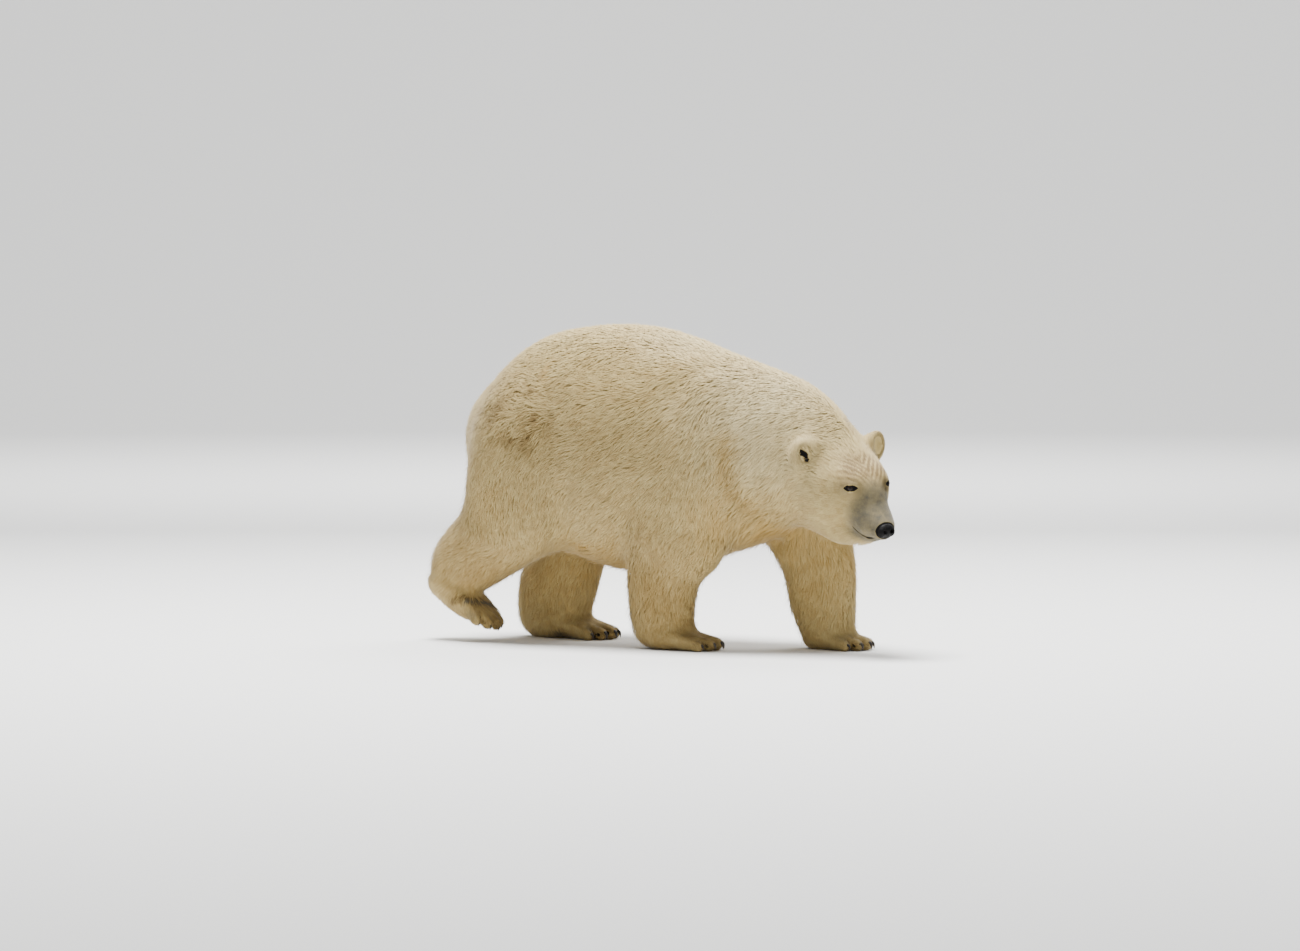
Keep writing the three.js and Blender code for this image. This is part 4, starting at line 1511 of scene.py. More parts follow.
    @staticmethod
    def read(items: bpy.types.bpy_prop_collection, name: str, width: int) -> Array:
        """Reads one attribute of every item of a mesh as rows.

        Args:
            items: The mesh's points, corners or the like.
            name: The attribute's name.
            width: How many numbers each has.

        Returns:
            A row for each item.
        """
        values = np.empty(len(items) * width, np.float64)
        items.foreach_get(name, values)
        return values.reshape(-1, width)

    def relaxed(self, mesh: bpy.types.Mesh, points: Array, where: Array, share: float) -> Array:
        """Moves chosen points towards the middle of their neighbours.

        Args:
            mesh: Whose edges join the points.
            points: Its points.
            where: Which to move.
            share: How far towards the middle.

        Returns:
            The moved points.
        """
        ends = np.empty(len(mesh.edges) * 2, np.int64)
        mesh.edges.foreach_get("vertices", ends)
        a, b = ends.reshape(-1, 2).T
        total, count = np.zeros_like(points), np.zeros(len(points))
        for one, other in ((a, b), (b, a)):
            for axis in range(3):
                total[:, axis] += np.bincount(one, points[other, axis], len(points))
            count += np.bincount(one, minlength=len(points))
        middle = total / np.maximum(count, 1)[:, None]
        result = points.copy()
        result[where] += (middle[where] - points[where]) * share
        return result

    def unwrap(self, skin: bpy.types.Object) -> None:
        """Lays the skin out flat as the map OFBake.

        Args:
            skin: The skin's object.
        """
        skin.data.uv_layers.new(name="OFBake")
        bpy.context.view_layer.objects.active = skin
        skin.select_set(True)
        bpy.ops.object.mode_set(mode="EDIT")
        bpy.ops.mesh.select_all(action="SELECT")
        bpy.ops.uv.smart_project(angle_limit=math.radians(70), island_margin=0.002)
        bpy.ops.object.mode_set(mode="OBJECT")
        skin.select_set(False)

    def remember(self, mesh: bpy.types.Mesh) -> None:
        """Keeps the skin's triangles, map and normals for the coat to grow on.

        Args:
            mesh: The finished mesh.
        """
        mesh.calc_loop_triangles()
        self.vertices = to_body(self.read(mesh.vertices, "co", 3))
        self.normals = self.read(mesh.vertices, "normal", 3)
        tris = np.empty(len(mesh.loop_triangles) * 3, np.int64)
        mesh.loop_triangles.foreach_get("vertices", tris)
        self.triangles = tris.reshape(-1, 3)
        loops = np.empty(len(mesh.loop_triangles) * 3, np.int64)
        mesh.loop_triangles.foreach_get("loops", loops)
        uv = self.read(mesh.uv_layers["OFBake"].data, "uv", 2)
        self.corners_uv = uv[loops].reshape(-1, 3, 2)
        LOG.info("skin of %d triangles", len(self.triangles))


# ---- the coat
@dataclass
class Roots:
    """Where the coat's locks grow, and how each one grows."""

    at: Array
    outward: Array
    lie: Array
    uv: Array
    depth: Array
    length: Array
    width: Array
    lift: Array
    stray: Array
    gather: Array
    marks: Array
    bare: Array
    place: Array
    chance: Array

    def picked(self, which: Array) -> "Roots":
        """Gives the chosen roots."""
        return Roots(**{name: value[which] for name, value in vars(self).items()})


@dataclass
class Coat:
    """The bear's coat: locks of solid mesh that lie along its skin."""

    body: BodyForm
    face: Face
    around: Surroundings
    skin: Skin
    budget: int = 1_380_000  # triangles in all the coat
    piece_limit: int = 190_000  # triangles in one piece
    short_lock: float = 13.0  # locks shorter than this are straight
    long_lock: float = 80.0  # locks longer than this bend in one place more
    guard_share: float = 0.23  # of the locks, as thin hairs that stand out
    # Skin that is black, bare or painted shade, above this share grows no coat.
    most_bare: float = 0.4  # skin that is barer grows no coat
    guard_width: float = 0.42  # of the width of the other locks
    lock_step: float = 4.0  # locks differ in width by this
    lock_least: float = 3.0
    tone_cell: float = 26.0  # hairs this near each other share a tone
    root_tuck: float = 1.5  # how far roots stand inside the skin
    least_height: float = 2.0  # of any hair over the floor
    patch: float = 0.003  # how much of the map one lock takes

    GROUPS = {
        "coat_torso": (Place.TRUNK, Place.TAIL),
        "coat_neck": (Place.NECK,),
        "coat_head": (Place.HEAD, Place.EAR),
        "coat_leg_hind_right": (Place.NEAR_HIND, Place.NEAR_HIND_FOOT),
        "coat_leg_hind_left": (Place.FAR_HIND, Place.FAR_HIND_FOOT),
        "coat_leg_fore_right": (Place.NEAR_FORE, Place.NEAR_FORE_FOOT),
        "coat_leg_fore_left": (Place.FAR_FORE, Place.FAR_FORE_FOOT),
    }

    def bends(self, length: Array) -> Array:
        """Gives how many straight pieces locks of some lengths have."""
        return 1 + (length > self.short_lock) + (length > self.long_lock).astype(int)

    def cost(self, length: Array) -> Array:
        """Gives how many triangles locks of some lengths have."""
        return 6 * self.bends(length) - 2

    def growth(self, points: Array, outward: Array) -> tuple[Survey, Array]:
        """Works out how the coat grows over points.

        Args:
            points: Body points on the skin.
            outward: The skin's directions there.

        Returns:
            The survey, and a row for each point of the sizes of CoatSpec, in its order.
        """
        survey = self.body.survey(points)
        weights = survey.weights()
        rows = weights @ np.array([astuple(COATS[p]) for p in PLACES])
        rows[:, DEPTH] = self.skin.depth(points, survey)
        own = self.body.head.POSE.inside(points)
        x, _, z = own.T
        head = weights[:, HEAD] + weights[:, EAR]
        shorter = 1.0 - 0.62 * ease(90, 270, x)
        ruff = 1.0 + 0.9 * ease(60, -30, x) * ease(-10, -90, z)
        throat = swell(own, (225, 0, -185), (48, 75, 36)) * head
        ruff = ruff + 2.2 * throat
        near_eye = np.min([lengths(points - eye.middle) for eye in self.face.eyes], axis=0)
        shorter = shorter * (0.4 + 0.6 * ease(24, 70, near_eye))
        rows[:, LENGTH] *= 1 + head * (shorter * ruff - 1)
        rows[:, WIDTH] *= 1 + head * (np.sqrt(shorter * ruff) - 1)
        rows[:, LIFT:GATHER] *= (1 + head * (shorter - 1))[:, None]
        rows[:, LIFT:GATHER] += throat[:, None] * (13.0, 11.0)
        legs = weights[:, LEG:FOOT].sum(axis=1)
        behind = ease(0.2, 0.9, -outward[:, 0]) * legs * ease(900, 600, points[:, 2])
        beneath = ease(0.35, 0.95, -outward[:, 2]) * (weights[:, TRUNK] + weights[:, NECK])
        fringe = np.maximum(behind, beneath)
        rows[:, LENGTH] *= 1 + 0.4 * fringe
        rows[:, LIFT] += 4.5 * fringe
        rows[:, STRAY] += 7.0 * fringe
        rows[:, GATHER] += 0.25 * fringe
        rump = swell(points, (-430, -260, 930), (190, 220, 170))
        rows[:, LIFT] += 4.0 * rump
        rows[:, STRAY] += 3.0 * rump
        rows[:, GATHER] += 0.35 * rump
        rows[:, WANDER] += 0.4 * rump
        return survey, rows

    def sow(self) -> Roots:
        """Scatters the roots over the skin, thickest where the locks are small.

        Returns:
            Every root that grows a lock.
        """
        rng = np.random.default_rng(SEED)
        corners = self.skin.vertices[self.skin.triangles]
        middles = corners.mean(axis=1)
        crossed = np.cross(corners[:, 1] - corners[:, 0], corners[:, 2] - corners[:, 0])
        area = lengths(crossed) / 2
        outward = unit(crossed)
        _, rows = self.growth(middles, outward)
        wanted = area * rows[:, LAYERS] / (rows[:, LENGTH] * rows[:, WIDTH] * 0.9)
        cost = self.cost(rows[:, LENGTH])
        LOG.info("coat of %.0f triangles wanted", (wanted * cost).sum())
        wanted *= min(1.0, self.budget / float((wanted * cost).sum()))
        ladder = np.concatenate([[0.0], np.cumsum(wanted)])
        count = int(ladder[-1])
        draws = np.arange(count) + rng.random(count)
        which = np.clip(np.searchsorted(ladder, draws, side="right") - 1, 0, len(area) - 1)
        a, b = np.sqrt(rng.random(count)), rng.random(count)
        share = np.stack([1 - a, a * (1 - b), a * b], axis=1)
        points = np.einsum("nk,nki->ni", share, corners[which])
        normals = self.skin.normals[self.skin.triangles[which]]
        outward = unit(np.einsum("nk,nki->ni", share, normals))
        survey, rows = self.growth(points, outward)
        weights = survey.weights()
        lie = self.body.lie(points, weights)
        for eye in self.face.eyes:
            away = points - eye.middle
            far = lengths(away)
            turned = 0.85 * ease(70, 26, far)[:, None]
            lie = lie * (1 - turned) + away / far[:, None] * turned
        lie = unit(lie - outward * dot(lie, outward)[:, None])
        sway = 1.6 * noise(points, 95, 3) + noise(points, 34, 4)
        angle = rows[:, WANDER] * (sway + 0.7 * rng.normal(size=count))
        lie = lie * np.cos(angle)[:, None] + np.cross(outward, lie) * np.sin(angle)[:, None]
        vary = rng.random((count, 5))
        guard = vary[:, 4] < self.guard_share
        roots = Roots(
            at=points, outward=outward, lie=lie,
            uv=np.einsum("nk,nki->ni", share, self.skin.corners_uv[which]),
            depth=rows[:, DEPTH],
            length=rows[:, LENGTH] * (0.72 + 0.5 * vary[:, 0]),
            width=rows[:, WIDTH] * np.where(guard, self.guard_width, 0.78 + 0.5 * vary[:, 1]),
            lift=rows[:, LIFT] * (vary[:, 2] * 1.6 - 0.3),
            stray=rows[:, STRAY] * guard * (0.35 + 0.75 * vary[:, 1]),
            gather=np.where(guard, 0.0, np.clip(rows[:, GATHER], 0, 0.9)),
            marks=markings(self.body, self.face, points),
            bare=self.face.bare(points),
            place=weights.argmax(axis=1),
            chance=vary[:, 3],
        )
        return roots.picked(roots.bare < self.most_bare)

    def gathering(self, roots: Roots) -> Array:
        """Finds the middle of the lock that each root's tip draws to, as a step from the root.

        Args:
            roots: Where the locks grow.

        Returns:
            A step for each root, flat on the skin.
        """
        size = np.clip(roots.length * 0.5, 5, 30)[:, None]
        step = self.lock_step * np.round(size / self.lock_step) + self.lock_least
        cells = np.floor(roots.at / step)
        best = np.full(len(cells), 1e9)
        result = np.zeros_like(roots.at)
        for around in itertools.product((-1, 0, 1), repeat=3):
            cell = cells + np.array(around)
            jitter = np.stack([hashed(cell, 20 + k) for k in range(3)], axis=1) * 0.5 + 0.5
            offset = (cell + jitter) * step - roots.at
            away = lengths(offset)
            closer = away < best
            best[closer] = away[closer]
            result[closer] = offset[closer]
        return result - roots.outward * dot(result, roots.outward)[:, None]

    def paths(self, roots: Roots, bends: int) -> tuple[Array, Array]:
        """Lays each lock along the coat's face.

        Args:
            roots: Where the locks grow.
            bends: Straight pieces in each lock.

        Returns:
            The points down each lock and the outward direction at each.
        """
        pull = self.gathering(roots) * roots.gather[:, None]
        rump = swell(roots.at, (-400, -260, 960), (240, 200, 230))
        relief = 3.2 * noise(roots.at, 130, 30) + (1.5 + 3.0 * rump) * noise(roots.at, 62, 31)
        relief += (0.7 + 2.2 * rump) * noise(roots.at, 30, 32)
        relief *= np.clip(roots.depth / 11.0 - 0.3, 0.08, 1.0)
        relief *= np.where(roots.place == COLUMN[Place.NECK], 0.45, 1.0)
        points, outwards = [roots.at - roots.outward * self.root_tuck], [roots.outward]
        heading = roots.lie
        for i in range(1, bends + 1):
            t = i / bends
            reach = pull * (t**1.5 - ((i - 1) / bends) ** 1.5)
            p = points[-1] + heading * (roots.length / bends)[:, None] + reach
            rise = 1 - (1 - t) ** 2.0
            level = -roots.depth * (1 - rise) + (relief + roots.lift) * rise + roots.stray * t**1.5
            for _ in range(2):
                value, outward = self.around.read(p)
                p = p + outward * (level - value)[:, None]
            p[:, 2] = np.maximum(p[:, 2], self.least_height)
            points.append(p)
            outwards.append(outward)
            heading = unit(heading - outward * dot(heading, outward)[:, None])
        return np.stack(points, axis=1), np.stack(outwards, axis=1)

    def locks(self, roots: Roots, bends: int) -> tuple[Array, ...]:
        """Builds the closed meshes of many locks.

        Args:
            roots: Where they grow.
            bends: Straight pieces in each lock.

        Returns:
            Vertices, faces, normals, map corners, marks and traits of the vertices.
        """
        points, outwards = self.paths(roots, bends)
        count = len(points)
        tangents = unit(np.diff(points, axis=1, append=2 * points[:, -1:] - points[:, -2:-1]))
        across = unit(np.cross(tangents, outwards))
        taper = {1: (1.0,), 2: (0.85, 0.8), 3: (0.8, 1.0, 0.62)}[bends]
        sides = ((-0.5, -0.06), (0.5, -0.06), (0.0, 0.26))
        rings = []
        for ring in range(bends):
            wide = (roots.width * taper[ring])[:, None]
            for s, h in sides:
                rings.append(points[:, ring] + across[:, ring] * wide * s + outwards[:, ring] * wide * h)
        rings.append(points[:, bends])
        vertices = np.stack(rings, axis=1)
        soft = []
        for ring in range(bends):
            for s, _ in sides:
                soft.append(unit(outwards[:, ring] + across[:, ring] * s * 0.7 + tangents[:, ring] * 0.06))
        soft.append(unit(outwards[:, bends] + tangents[:, bends] * 0.2))
        normals = np.stack(soft, axis=1)
        faces = [(0, 1, 2)]
        for ring in range(bends - 1):
            for i in range(3):
                a, b = ring * 3 + i, ring * 3 + (i + 1) % 3
                faces += [(a, a + 3, b + 3), (a, b + 3, b)]
        last = (bends - 1) * 3
        faces += [(last + i, last + 3, last + (i + 1) % 3) for i in range(3)]
        faces = np.array(faces)
        width = bends * 3 + 1
        whole = (faces[None] + (np.arange(count) * width)[:, None, None]).reshape(-1, 3)
        down = np.array([r / bends for r in range(bends) for _ in range(3)] + [1.0])
        over = np.array([s for _ in range(bends) for s, _ in sides] + [0.0])
        local = np.stack([over, down - 0.5], axis=1) * self.patch
        uv = (roots.uv[:, None] + local[None]).reshape(-1, 2)
        lock = np.round(roots.at / self.tone_cell)
        traits = np.stack([
            np.repeat(roots.chance, width),
            np.tile(down, count),
            np.repeat(hashed(lock, 41) * 0.5 + 0.5, width),
            np.tile(over + 0.5, count),
        ], axis=1)
        marks = np.repeat(roots.marks, width, axis=0)
        return vertices.reshape(-1, 3), whole, normals.reshape(-1, 3), uv, marks, traits

    def piece(self, name: str, roots: Roots) -> bpy.types.Object:
        """Builds one piece of the coat from its roots.

        Args:
            name: The piece's name.
            roots: Its roots.

        Returns:
            The piece, not dressed yet.
        """
        bends = self.bends(roots.length)
        parts = [self.locks(roots.picked(bends == b), b) for b in np.unique(bends)]
        starts = np.cumsum([0] + [len(p[0]) for p in parts])
        faces = np.concatenate([p[1] + start for p, start in zip(parts, starts)])
        vertices, _, normals, uv, marks, traits = (np.concatenate(column) for column in zip(*parts))
        mesh = bpy.data.meshes.new(name)
        mesh.vertices.add(len(vertices))
        mesh.vertices.foreach_set("co", to_metres(vertices).astype(np.float32).ravel())
        mesh.loops.add(faces.size)
        mesh.loops.foreach_set("vertex_index", faces.ravel().astype(np.int32))
        mesh.polygons.add(len(faces))
        mesh.polygons.foreach_set("loop_start", np.arange(0, faces.size, 3, dtype=np.int32))
        smoothed(mesh)
        mesh.update(calc_edges=True)
        layer = mesh.uv_layers.new(name="OFBake")
        layer.data.foreach_set("uv", uv[faces.ravel()].astype(np.float32).ravel())
        carry(mesh, "marks", "FLOAT_COLOR", marks)
        carry(mesh, "strand", "FLOAT_COLOR", traits)
        carry(mesh, "custom_normal", "FLOAT_VECTOR", normals)
        mesh.update()
        LOG.info("%s: %d locks, %d triangles", name, len(roots.at), len(faces))
        return placed(name, mesh)

    def make(self) -> list[bpy.types.Object]:
        """Builds every piece of the coat.

        Returns:
            The pieces, each under the limit.
        """
        roots = self.sow()
        cost = self.cost(roots.length)
        pieces = []
        for name, places in self.GROUPS.items():
            chosen = np.isin(roots.place, [COLUMN[p] for p in places])
            which = np.flatnonzero(chosen)
            which = which[np.argsort(roots.at[which, 0], kind="stable")]
            parts = math.ceil(cost[which].sum() / self.piece_limit)
            ends = np.searchsorted(np.cumsum(cost[which]), np.arange(1, parts) * cost[which].sum() / parts)
            for i, chunk in enumerate(np.split(which, ends)):
                pieces.append(self.piece(f"{name}_{i + 1}" if parts > 1 else name, roots.picked(chunk)))
        return pieces


# ---- node trees
@dataclass
class Value:
    """A node's output with Python's sums on it."""

    tree: "NodeMaker"
    socket: bpy.types.NodeSocket

    def math(self, operation: str, *others: "Value | float", clamp: bool = False) -> "Value":
        """Adds one Math node.

        Args:
            operation: What the node does.
            others: Its other values.
            clamp: Whether its result is kept between 0 and 1.

        Returns:
            The result.
        """
        inputs = {i: value for i, value in enumerate((self, *others))}
        return self.tree.node("ShaderNodeMath", {"operation": operation, "use_clamp": clamp}, inputs)

    def __add__(self, other: "Value | float") -> "Value":
        """Adds."""
        return self.math("ADD", other)

    __radd__ = __add__

    def __sub__(self, other: "Value | float") -> "Value":
        """Takes away."""
        return self.math("SUBTRACT", other)

    def __rsub__(self, other: float) -> "Value":
        """Takes this from a number."""
        return self.tree.node("ShaderNodeMath", {"operation": "SUBTRACT"}, {0: other, 1: self})

    def __mul__(self, other: "Value | float") -> "Value":
        """Multiplies."""
        return self.math("MULTIPLY", other)

    def clamped(self) -> "Value":
        """Keeps the value between 0 and 1."""
        return self.math("ADD", 0.0, clamp=True)

    def ranged(self, low: float, high: float) -> "Value":
        """Turns low..high into a smooth 0..1."""
        inputs = {"Value": self, "From Min": low, "From Max": high}
        return self.tree.node("ShaderNodeMapRange", {"interpolation_type": "SMOOTHSTEP"}, inputs)


@dataclass
class NodeMaker:
    """Makes and links the nodes of one tree."""

    nodes: bpy.types.Nodes
    links: bpy.types.NodeLinks

    @classmethod
    def of(cls, tree: bpy.types.NodeTree) -> "NodeMaker":
        """Empties a tree and gives its maker."""
        tree.nodes.clear()
        return cls(tree.nodes, tree.links)

    def node(
        self,
        kind: str,
        settings: dict[str, object] | None = None,
        inputs: dict[int | str, object] | None = None,
        output: int | str = 0,
    ) -> Value:
        """Adds one node.

        Args:
            kind: The node's type.
            settings: Attributes that are set first.
            inputs: Values or links for its sockets.
            output: Which of its outputs is wanted.

        Returns:
            That output.
        """
        node = self.nodes.new(kind)
        for name, value in (settings or {}).items():
            setattr(node, name, value)
        for name, value in (inputs or {}).items():
            if isinstance(value, Value):
                self.links.new(value.socket, node.inputs[name])
            else:
                node.inputs[name].default_value = value
        return Value(self, node.outputs[output]) if len(node.outputs) else Value(self, None)

    def noise(self, where: Value, scale: float, detail: float = 2.0) -> Value:
        """Adds a noise texture and gives its value."""
        return self.node("ShaderNodeTexNoise", {}, {"Vector": where, "Scale": scale, "Detail": detail})

    def attribute(self, name: str, output: str = "Fac") -> Value:
        """Reads what a mesh carries under a name."""
        return self.node("ShaderNodeAttribute", {"attribute_name": name}, {}, output)

    def split(self, colour: Value) -> list[Value]:
        """Gives the three channels of a colour."""
        node = self.node("ShaderNodeSeparateColor", {}, {"Color": colour}).socket.node
        return [Value(self, node.outputs[i]) for i in range(3)]

    def bump(self, height: Value, strength: float, distance: float, invert: bool = False) -> Value:
        """Turns a height into the way the surface faces."""
        inputs = {"Height": height, "Strength": strength, "Distance": distance}
        return self.node("ShaderNodeBump", {"invert": invert}, inputs)

    def mix(self, factor: Value | float, a: object, b: object) -> Value:
        """Mixes two colours.

        Args:
            factor: The share of the second.
            a: The first colour.
            b: The second colour.

        Returns:
            The mixed colour.
        """
        node = self.nodes.new("ShaderNodeMix")
        node.data_type = "RGBA"
        for name, value in (("Factor_Float", factor), ("A_Color", a), ("B_Color", b)):
            socket = next(s for s in node.inputs if s.identifier == name)
            if isinstance(value, Value):
                self.links.new(value.socket, socket)
            else:
                socket.default_value = value
        return Value(self, next(s for s in node.outputs if s.identifier == "Result_Color"))

    def stretched(self, where: Value, scale: Numbers) -> Value:
        """Stretches a place before a texture reads it."""
        return self.node("ShaderNodeMapping", {}, {"Vector": where, "Scale": scale})


def colour(red: int, green: int, blue: int) -> tuple[float, float, float, float]:
    """Turns a colour of 0 to 255 as it looks on a screen into shader light.

    Args:
        red: From 0 to 255.
        green: From 0 to 255.
        blue: From 0 to 255.

    Returns:
        Red, green, blue and alpha.
    """
    shares = [channel / 255 for channel in (red, green, blue)]
    linear = [s / 12.92 if s <= 0.04045 else ((s + 0.055) / 1.055) ** 2.4 for s in shares]
    return (*linear, 1.0)


# ---- finishes
class Finish:
    """A material made of nodes."""

    name = "finish"

    def dress(self, maker: NodeMaker, where: Value) -> dict[str, object]:
        """Makes what the surface needs; gives the shader's inputs.

        Args:
            maker: What makes the nodes.
            where: The place on the piece.

        Returns:
            The shader's inputs by name.
        """
        raise NotImplementedError

    def make(self) -> bpy.types.Material:
        """Builds the material.

        Returns:
            The material.
        """
        material = bpy.data.materials.new(self.name)
        material.use_nodes = True
        maker = NodeMaker.of(material.node_tree)
        where = maker.node("ShaderNodeTexCoord", {}, {}, "Object")
        shader = maker.node("ShaderNodeBsdfPrincipled", {}, self.dress(maker, where))
        maker.node("ShaderNodeOutputMaterial", {}, {"Surface": shader})
        return material


@dataclass(frozen=True)
class CoatFinish(Finish):
    """Creamy fur, tinted by the marks that skin and locks carry, painted shade and painted light among them.
    """

    name: str = "coat"
    cream: Numbers = colour(203, 184, 128)
    # The dark end of each lock's random tone, and of the painted shade towards the lock's root.
    root: Numbers = colour(162, 136, 84)
    tan: Numbers = colour(172, 136, 66)
    # Real dirt, and painted shade in creases, ear cups and toe gaps, under the body and on its less lit
    # sides.
    dirt: Numbers = colour(118, 95, 52)
    # The muzzle's grey, and painted shade in the near hind foot's crease and where the far hind foot meets
    # the floor.
    grey: Numbers = colour(78, 77, 68)
    # Paler fur on the neck, and painted light along the top of the back.
    pale: Numbers = colour(226, 213, 172)
    # Black bare skin, and painted shade in the near ear's hole and between the toes.
    bare: Numbers = colour(15, 13, 12)
    is_skin: bool = False

    def dress(self, maker: NodeMaker, where: Value) -> dict[str, object]:
        """Makes the fur's colour and its fine relief.

        Args:
            maker: What makes the nodes.
            where: The place on the piece.

        Returns:
            The shader's inputs by name.
        """
        tan, dirt, grey = maker.split(maker.attribute("marks", "Color"))
        pale = maker.attribute("marks", "Alpha")
        broad = maker.noise(where, 6.0, 3.0)
        small = maker.noise(where, 55.0, 2.0)
        # Random tone, and on the locks painted shade towards each root, draws the colour to the root tone.
        shade = broad * 0.25 + small * 0.12 + (0.15 if self.is_skin else self.strands(maker))
        base = maker.mix(shade.clamped(), self.cream, self.root)
        base = maker.mix((pale * (1.0 - shade * 0.7)).clamped(), base, self.pale)
        base = maker.mix((tan * (0.25 + broad * 0.5 + shade * 0.4)).clamped(), base, self.tan)
        base = maker.mix((dirt * (0.1 + small * 0.7 + shade * 0.6)).clamped(), base, self.dirt)
        base = maker.mix((grey * (0.45 + small * 0.3 + shade * 0.4)).clamped(), base, self.grey)
        if self.is_skin:
            bare = maker.attribute("bare")
            base = maker.mix(bare.ranged(0.25, 0.7), base, self.bare)
            bump = maker.bump(maker.noise(where, 420.0, 3.0), 0.35, 0.002)
            look = {"Roughness": 0.75 - bare * 0.2, "Normal": bump, "Specular IOR Level": 0.04}
        else:
            sheen = {"Sheen Weight": 0.15, "Sheen Roughness": 0.5}
            look = {"Roughness": 0.68, "Specular IOR Level": 0.25, **sheen}
        return {"Base Color": base, **look}

    @staticmethod
    def strands(maker: NodeMaker) -> Value:
        """Gives how far each lock and each hair in it is darkened: at random, and more at the roots as
        painted shade.

        Args:
            maker: What makes the nodes.

        Returns:
            The shade, from 0 for none.
        """
        chance, down, lock = maker.split(maker.attribute("strand", "Color"))
        over = maker.attribute("strand", "Alpha")
        spread = {"X": over * 9.0, "Y": down * 1.6, "Z": chance * 90.0}
        along = maker.node("ShaderNodeCombineXYZ", {}, spread)
        hairs = maker.noise(along, 1.0, 2.0)
        tone = chance * 0.3 + lock * 0.32 + hairs.ranged(0.45, 0.7) * 0.2
        # Painted shade: each lock darker towards its root, deep in the coat.
        return tone + (0.24 - down * 0.35).clamped()


@dataclass(frozen=True)
class NoseFinish(Finish):
    """Black, finely pebbled nose leather."""

    name: str = "nose_leather"
    dark: Numbers = colour(9, 8, 8)
    light: Numbers = colour(20, 19, 19)

    def dress(self, maker: NodeMaker, where: Value) -> dict[str, object]:
        """Makes the pebbles and their sheen.

        Args:
            maker: What makes the nodes.
            where: The place on the piece.

        Returns:
            The shader's inputs by name.
        """
        cells = {"Vector": where, "Scale": 520.0}
        pebbles = maker.node("ShaderNodeTexVoronoi", {"feature": "SMOOTH_F1"}, cells)
        cloud = maker.noise(where, 60.0, 3.0)
        base = maker.mix((cloud * 0.9).clamped(), self.dark, self.light)
        bump = maker.bump(pebbles, 0.5, 0.0012, invert=True)
        look = {"Roughness": 0.42 + cloud * 0.2, "Normal": bump, "Specular IOR Level": 0.08}
        return {"Base Color": base, **look}


@dataclass(frozen=True)
class EyeFinish(Finish):
    """A dark brown eye, black at the pupil, under a wet clear coat."""

    name: str = "eye"
    middle: Numbers = (0.0, 0.0, 0.0)
    outward: Numbers = (1.0, 0.0, 0.0)
    iris: Numbers = colour(34, 22, 14)
    pupil: Numbers = colour(6, 5, 5)
    white: Numbers = colour(30, 24, 21)

    def dress(self, maker: NodeMaker, where: Value) -> dict[str, object]:
        """Makes pupil, iris and the white's dark rim.

        Args:
            maker: What makes the nodes.
            where: The place on the piece.

        Returns:
            The shader's inputs by name.
        """
        kind = "ShaderNodeVectorMath"
        offset = maker.node(kind, {"operation": "SUBTRACT"}, {0: where, 1: self.middle})
        aim = maker.node(kind, {"operation": "NORMALIZE"}, {0: offset})
        facing = maker.node(kind, {"operation": "DOT_PRODUCT"}, {0: aim, 1: self.outward}, "Value")
        fibres = maker.noise(where, 900.0, 3.0)
        iris = maker.mix((fibres * 0.8).clamped(), self.iris, self.pupil)
        base = maker.mix(facing.ranged(0.80, 0.86), self.white, iris)
        base = maker.mix(facing.ranged(0.955, 0.97), base, self.pupil)
        wet = {"Coat Weight": 0.2, "Coat Roughness": 0.05}
        return {"Base Color": base, "Roughness": 0.3, "Specular IOR Level": 0.05, **wet}


@dataclass(frozen=True)
class ClawFinish(Finish):
    """Dark horn with fine lengthwise grain, paler and scuffed at the tips."""

    name: str = "claw_horn"
    dark: Numbers = colour(30, 26, 23)
    worn: Numbers = colour(92, 78, 62)

    def dress(self, maker: NodeMaker, where: Value) -> dict[str, object]:
        """Makes the horn's grain and wear.

        Args:
            maker: What makes the nodes.
            where: The place on the piece.

        Returns:
            The shader's inputs by name.
        """
        down = maker.attribute("down")
        grain = maker.noise(maker.stretched(where, (60, 420, 420)), 1.0, 3.0)
        wear = (down.ranged(0.35, 1.0) * 0.5 + grain * 0.35) * down
        base = maker.mix(wear.clamped(), self.dark, self.worn)
        bump = maker.bump(grain, 0.3, 0.001)
        return {"Base Color": base, "Roughness": 0.34 + grain * 0.25, "Normal": bump}


@dataclass(frozen=True)
class WhiskerFinish(Finish):
    """Pale stiff hair."""

    name: str = "whisker_hair"
    tone: Numbers = colour(128, 120, 104)
    base: Numbers = colour(62, 56, 48)

    def dress(self, maker: NodeMaker, where: Value) -> dict[str, object]:
        """Makes hair that is darker in places."""
        cloud = maker.noise(where, 240.0, 2.0)
        return {"Base Color": maker.mix(cloud.ranged(0.4, 0.7), self.tone, self.base), "Roughness": 0.5}


@dataclass(frozen=True)
class FloorFinish(Finish):
    """A plain pale floor."""

    name: str = "studio_floor"
    tone: Numbers = colour(240, 240, 238)

    def dress(self, maker: NodeMaker, where: Value) -> dict[str, object]:
        """Makes the floor's even tone."""
        return {"Base Color": self.tone, "Roughness": 0.9, "Specular IOR Level": 0.2}


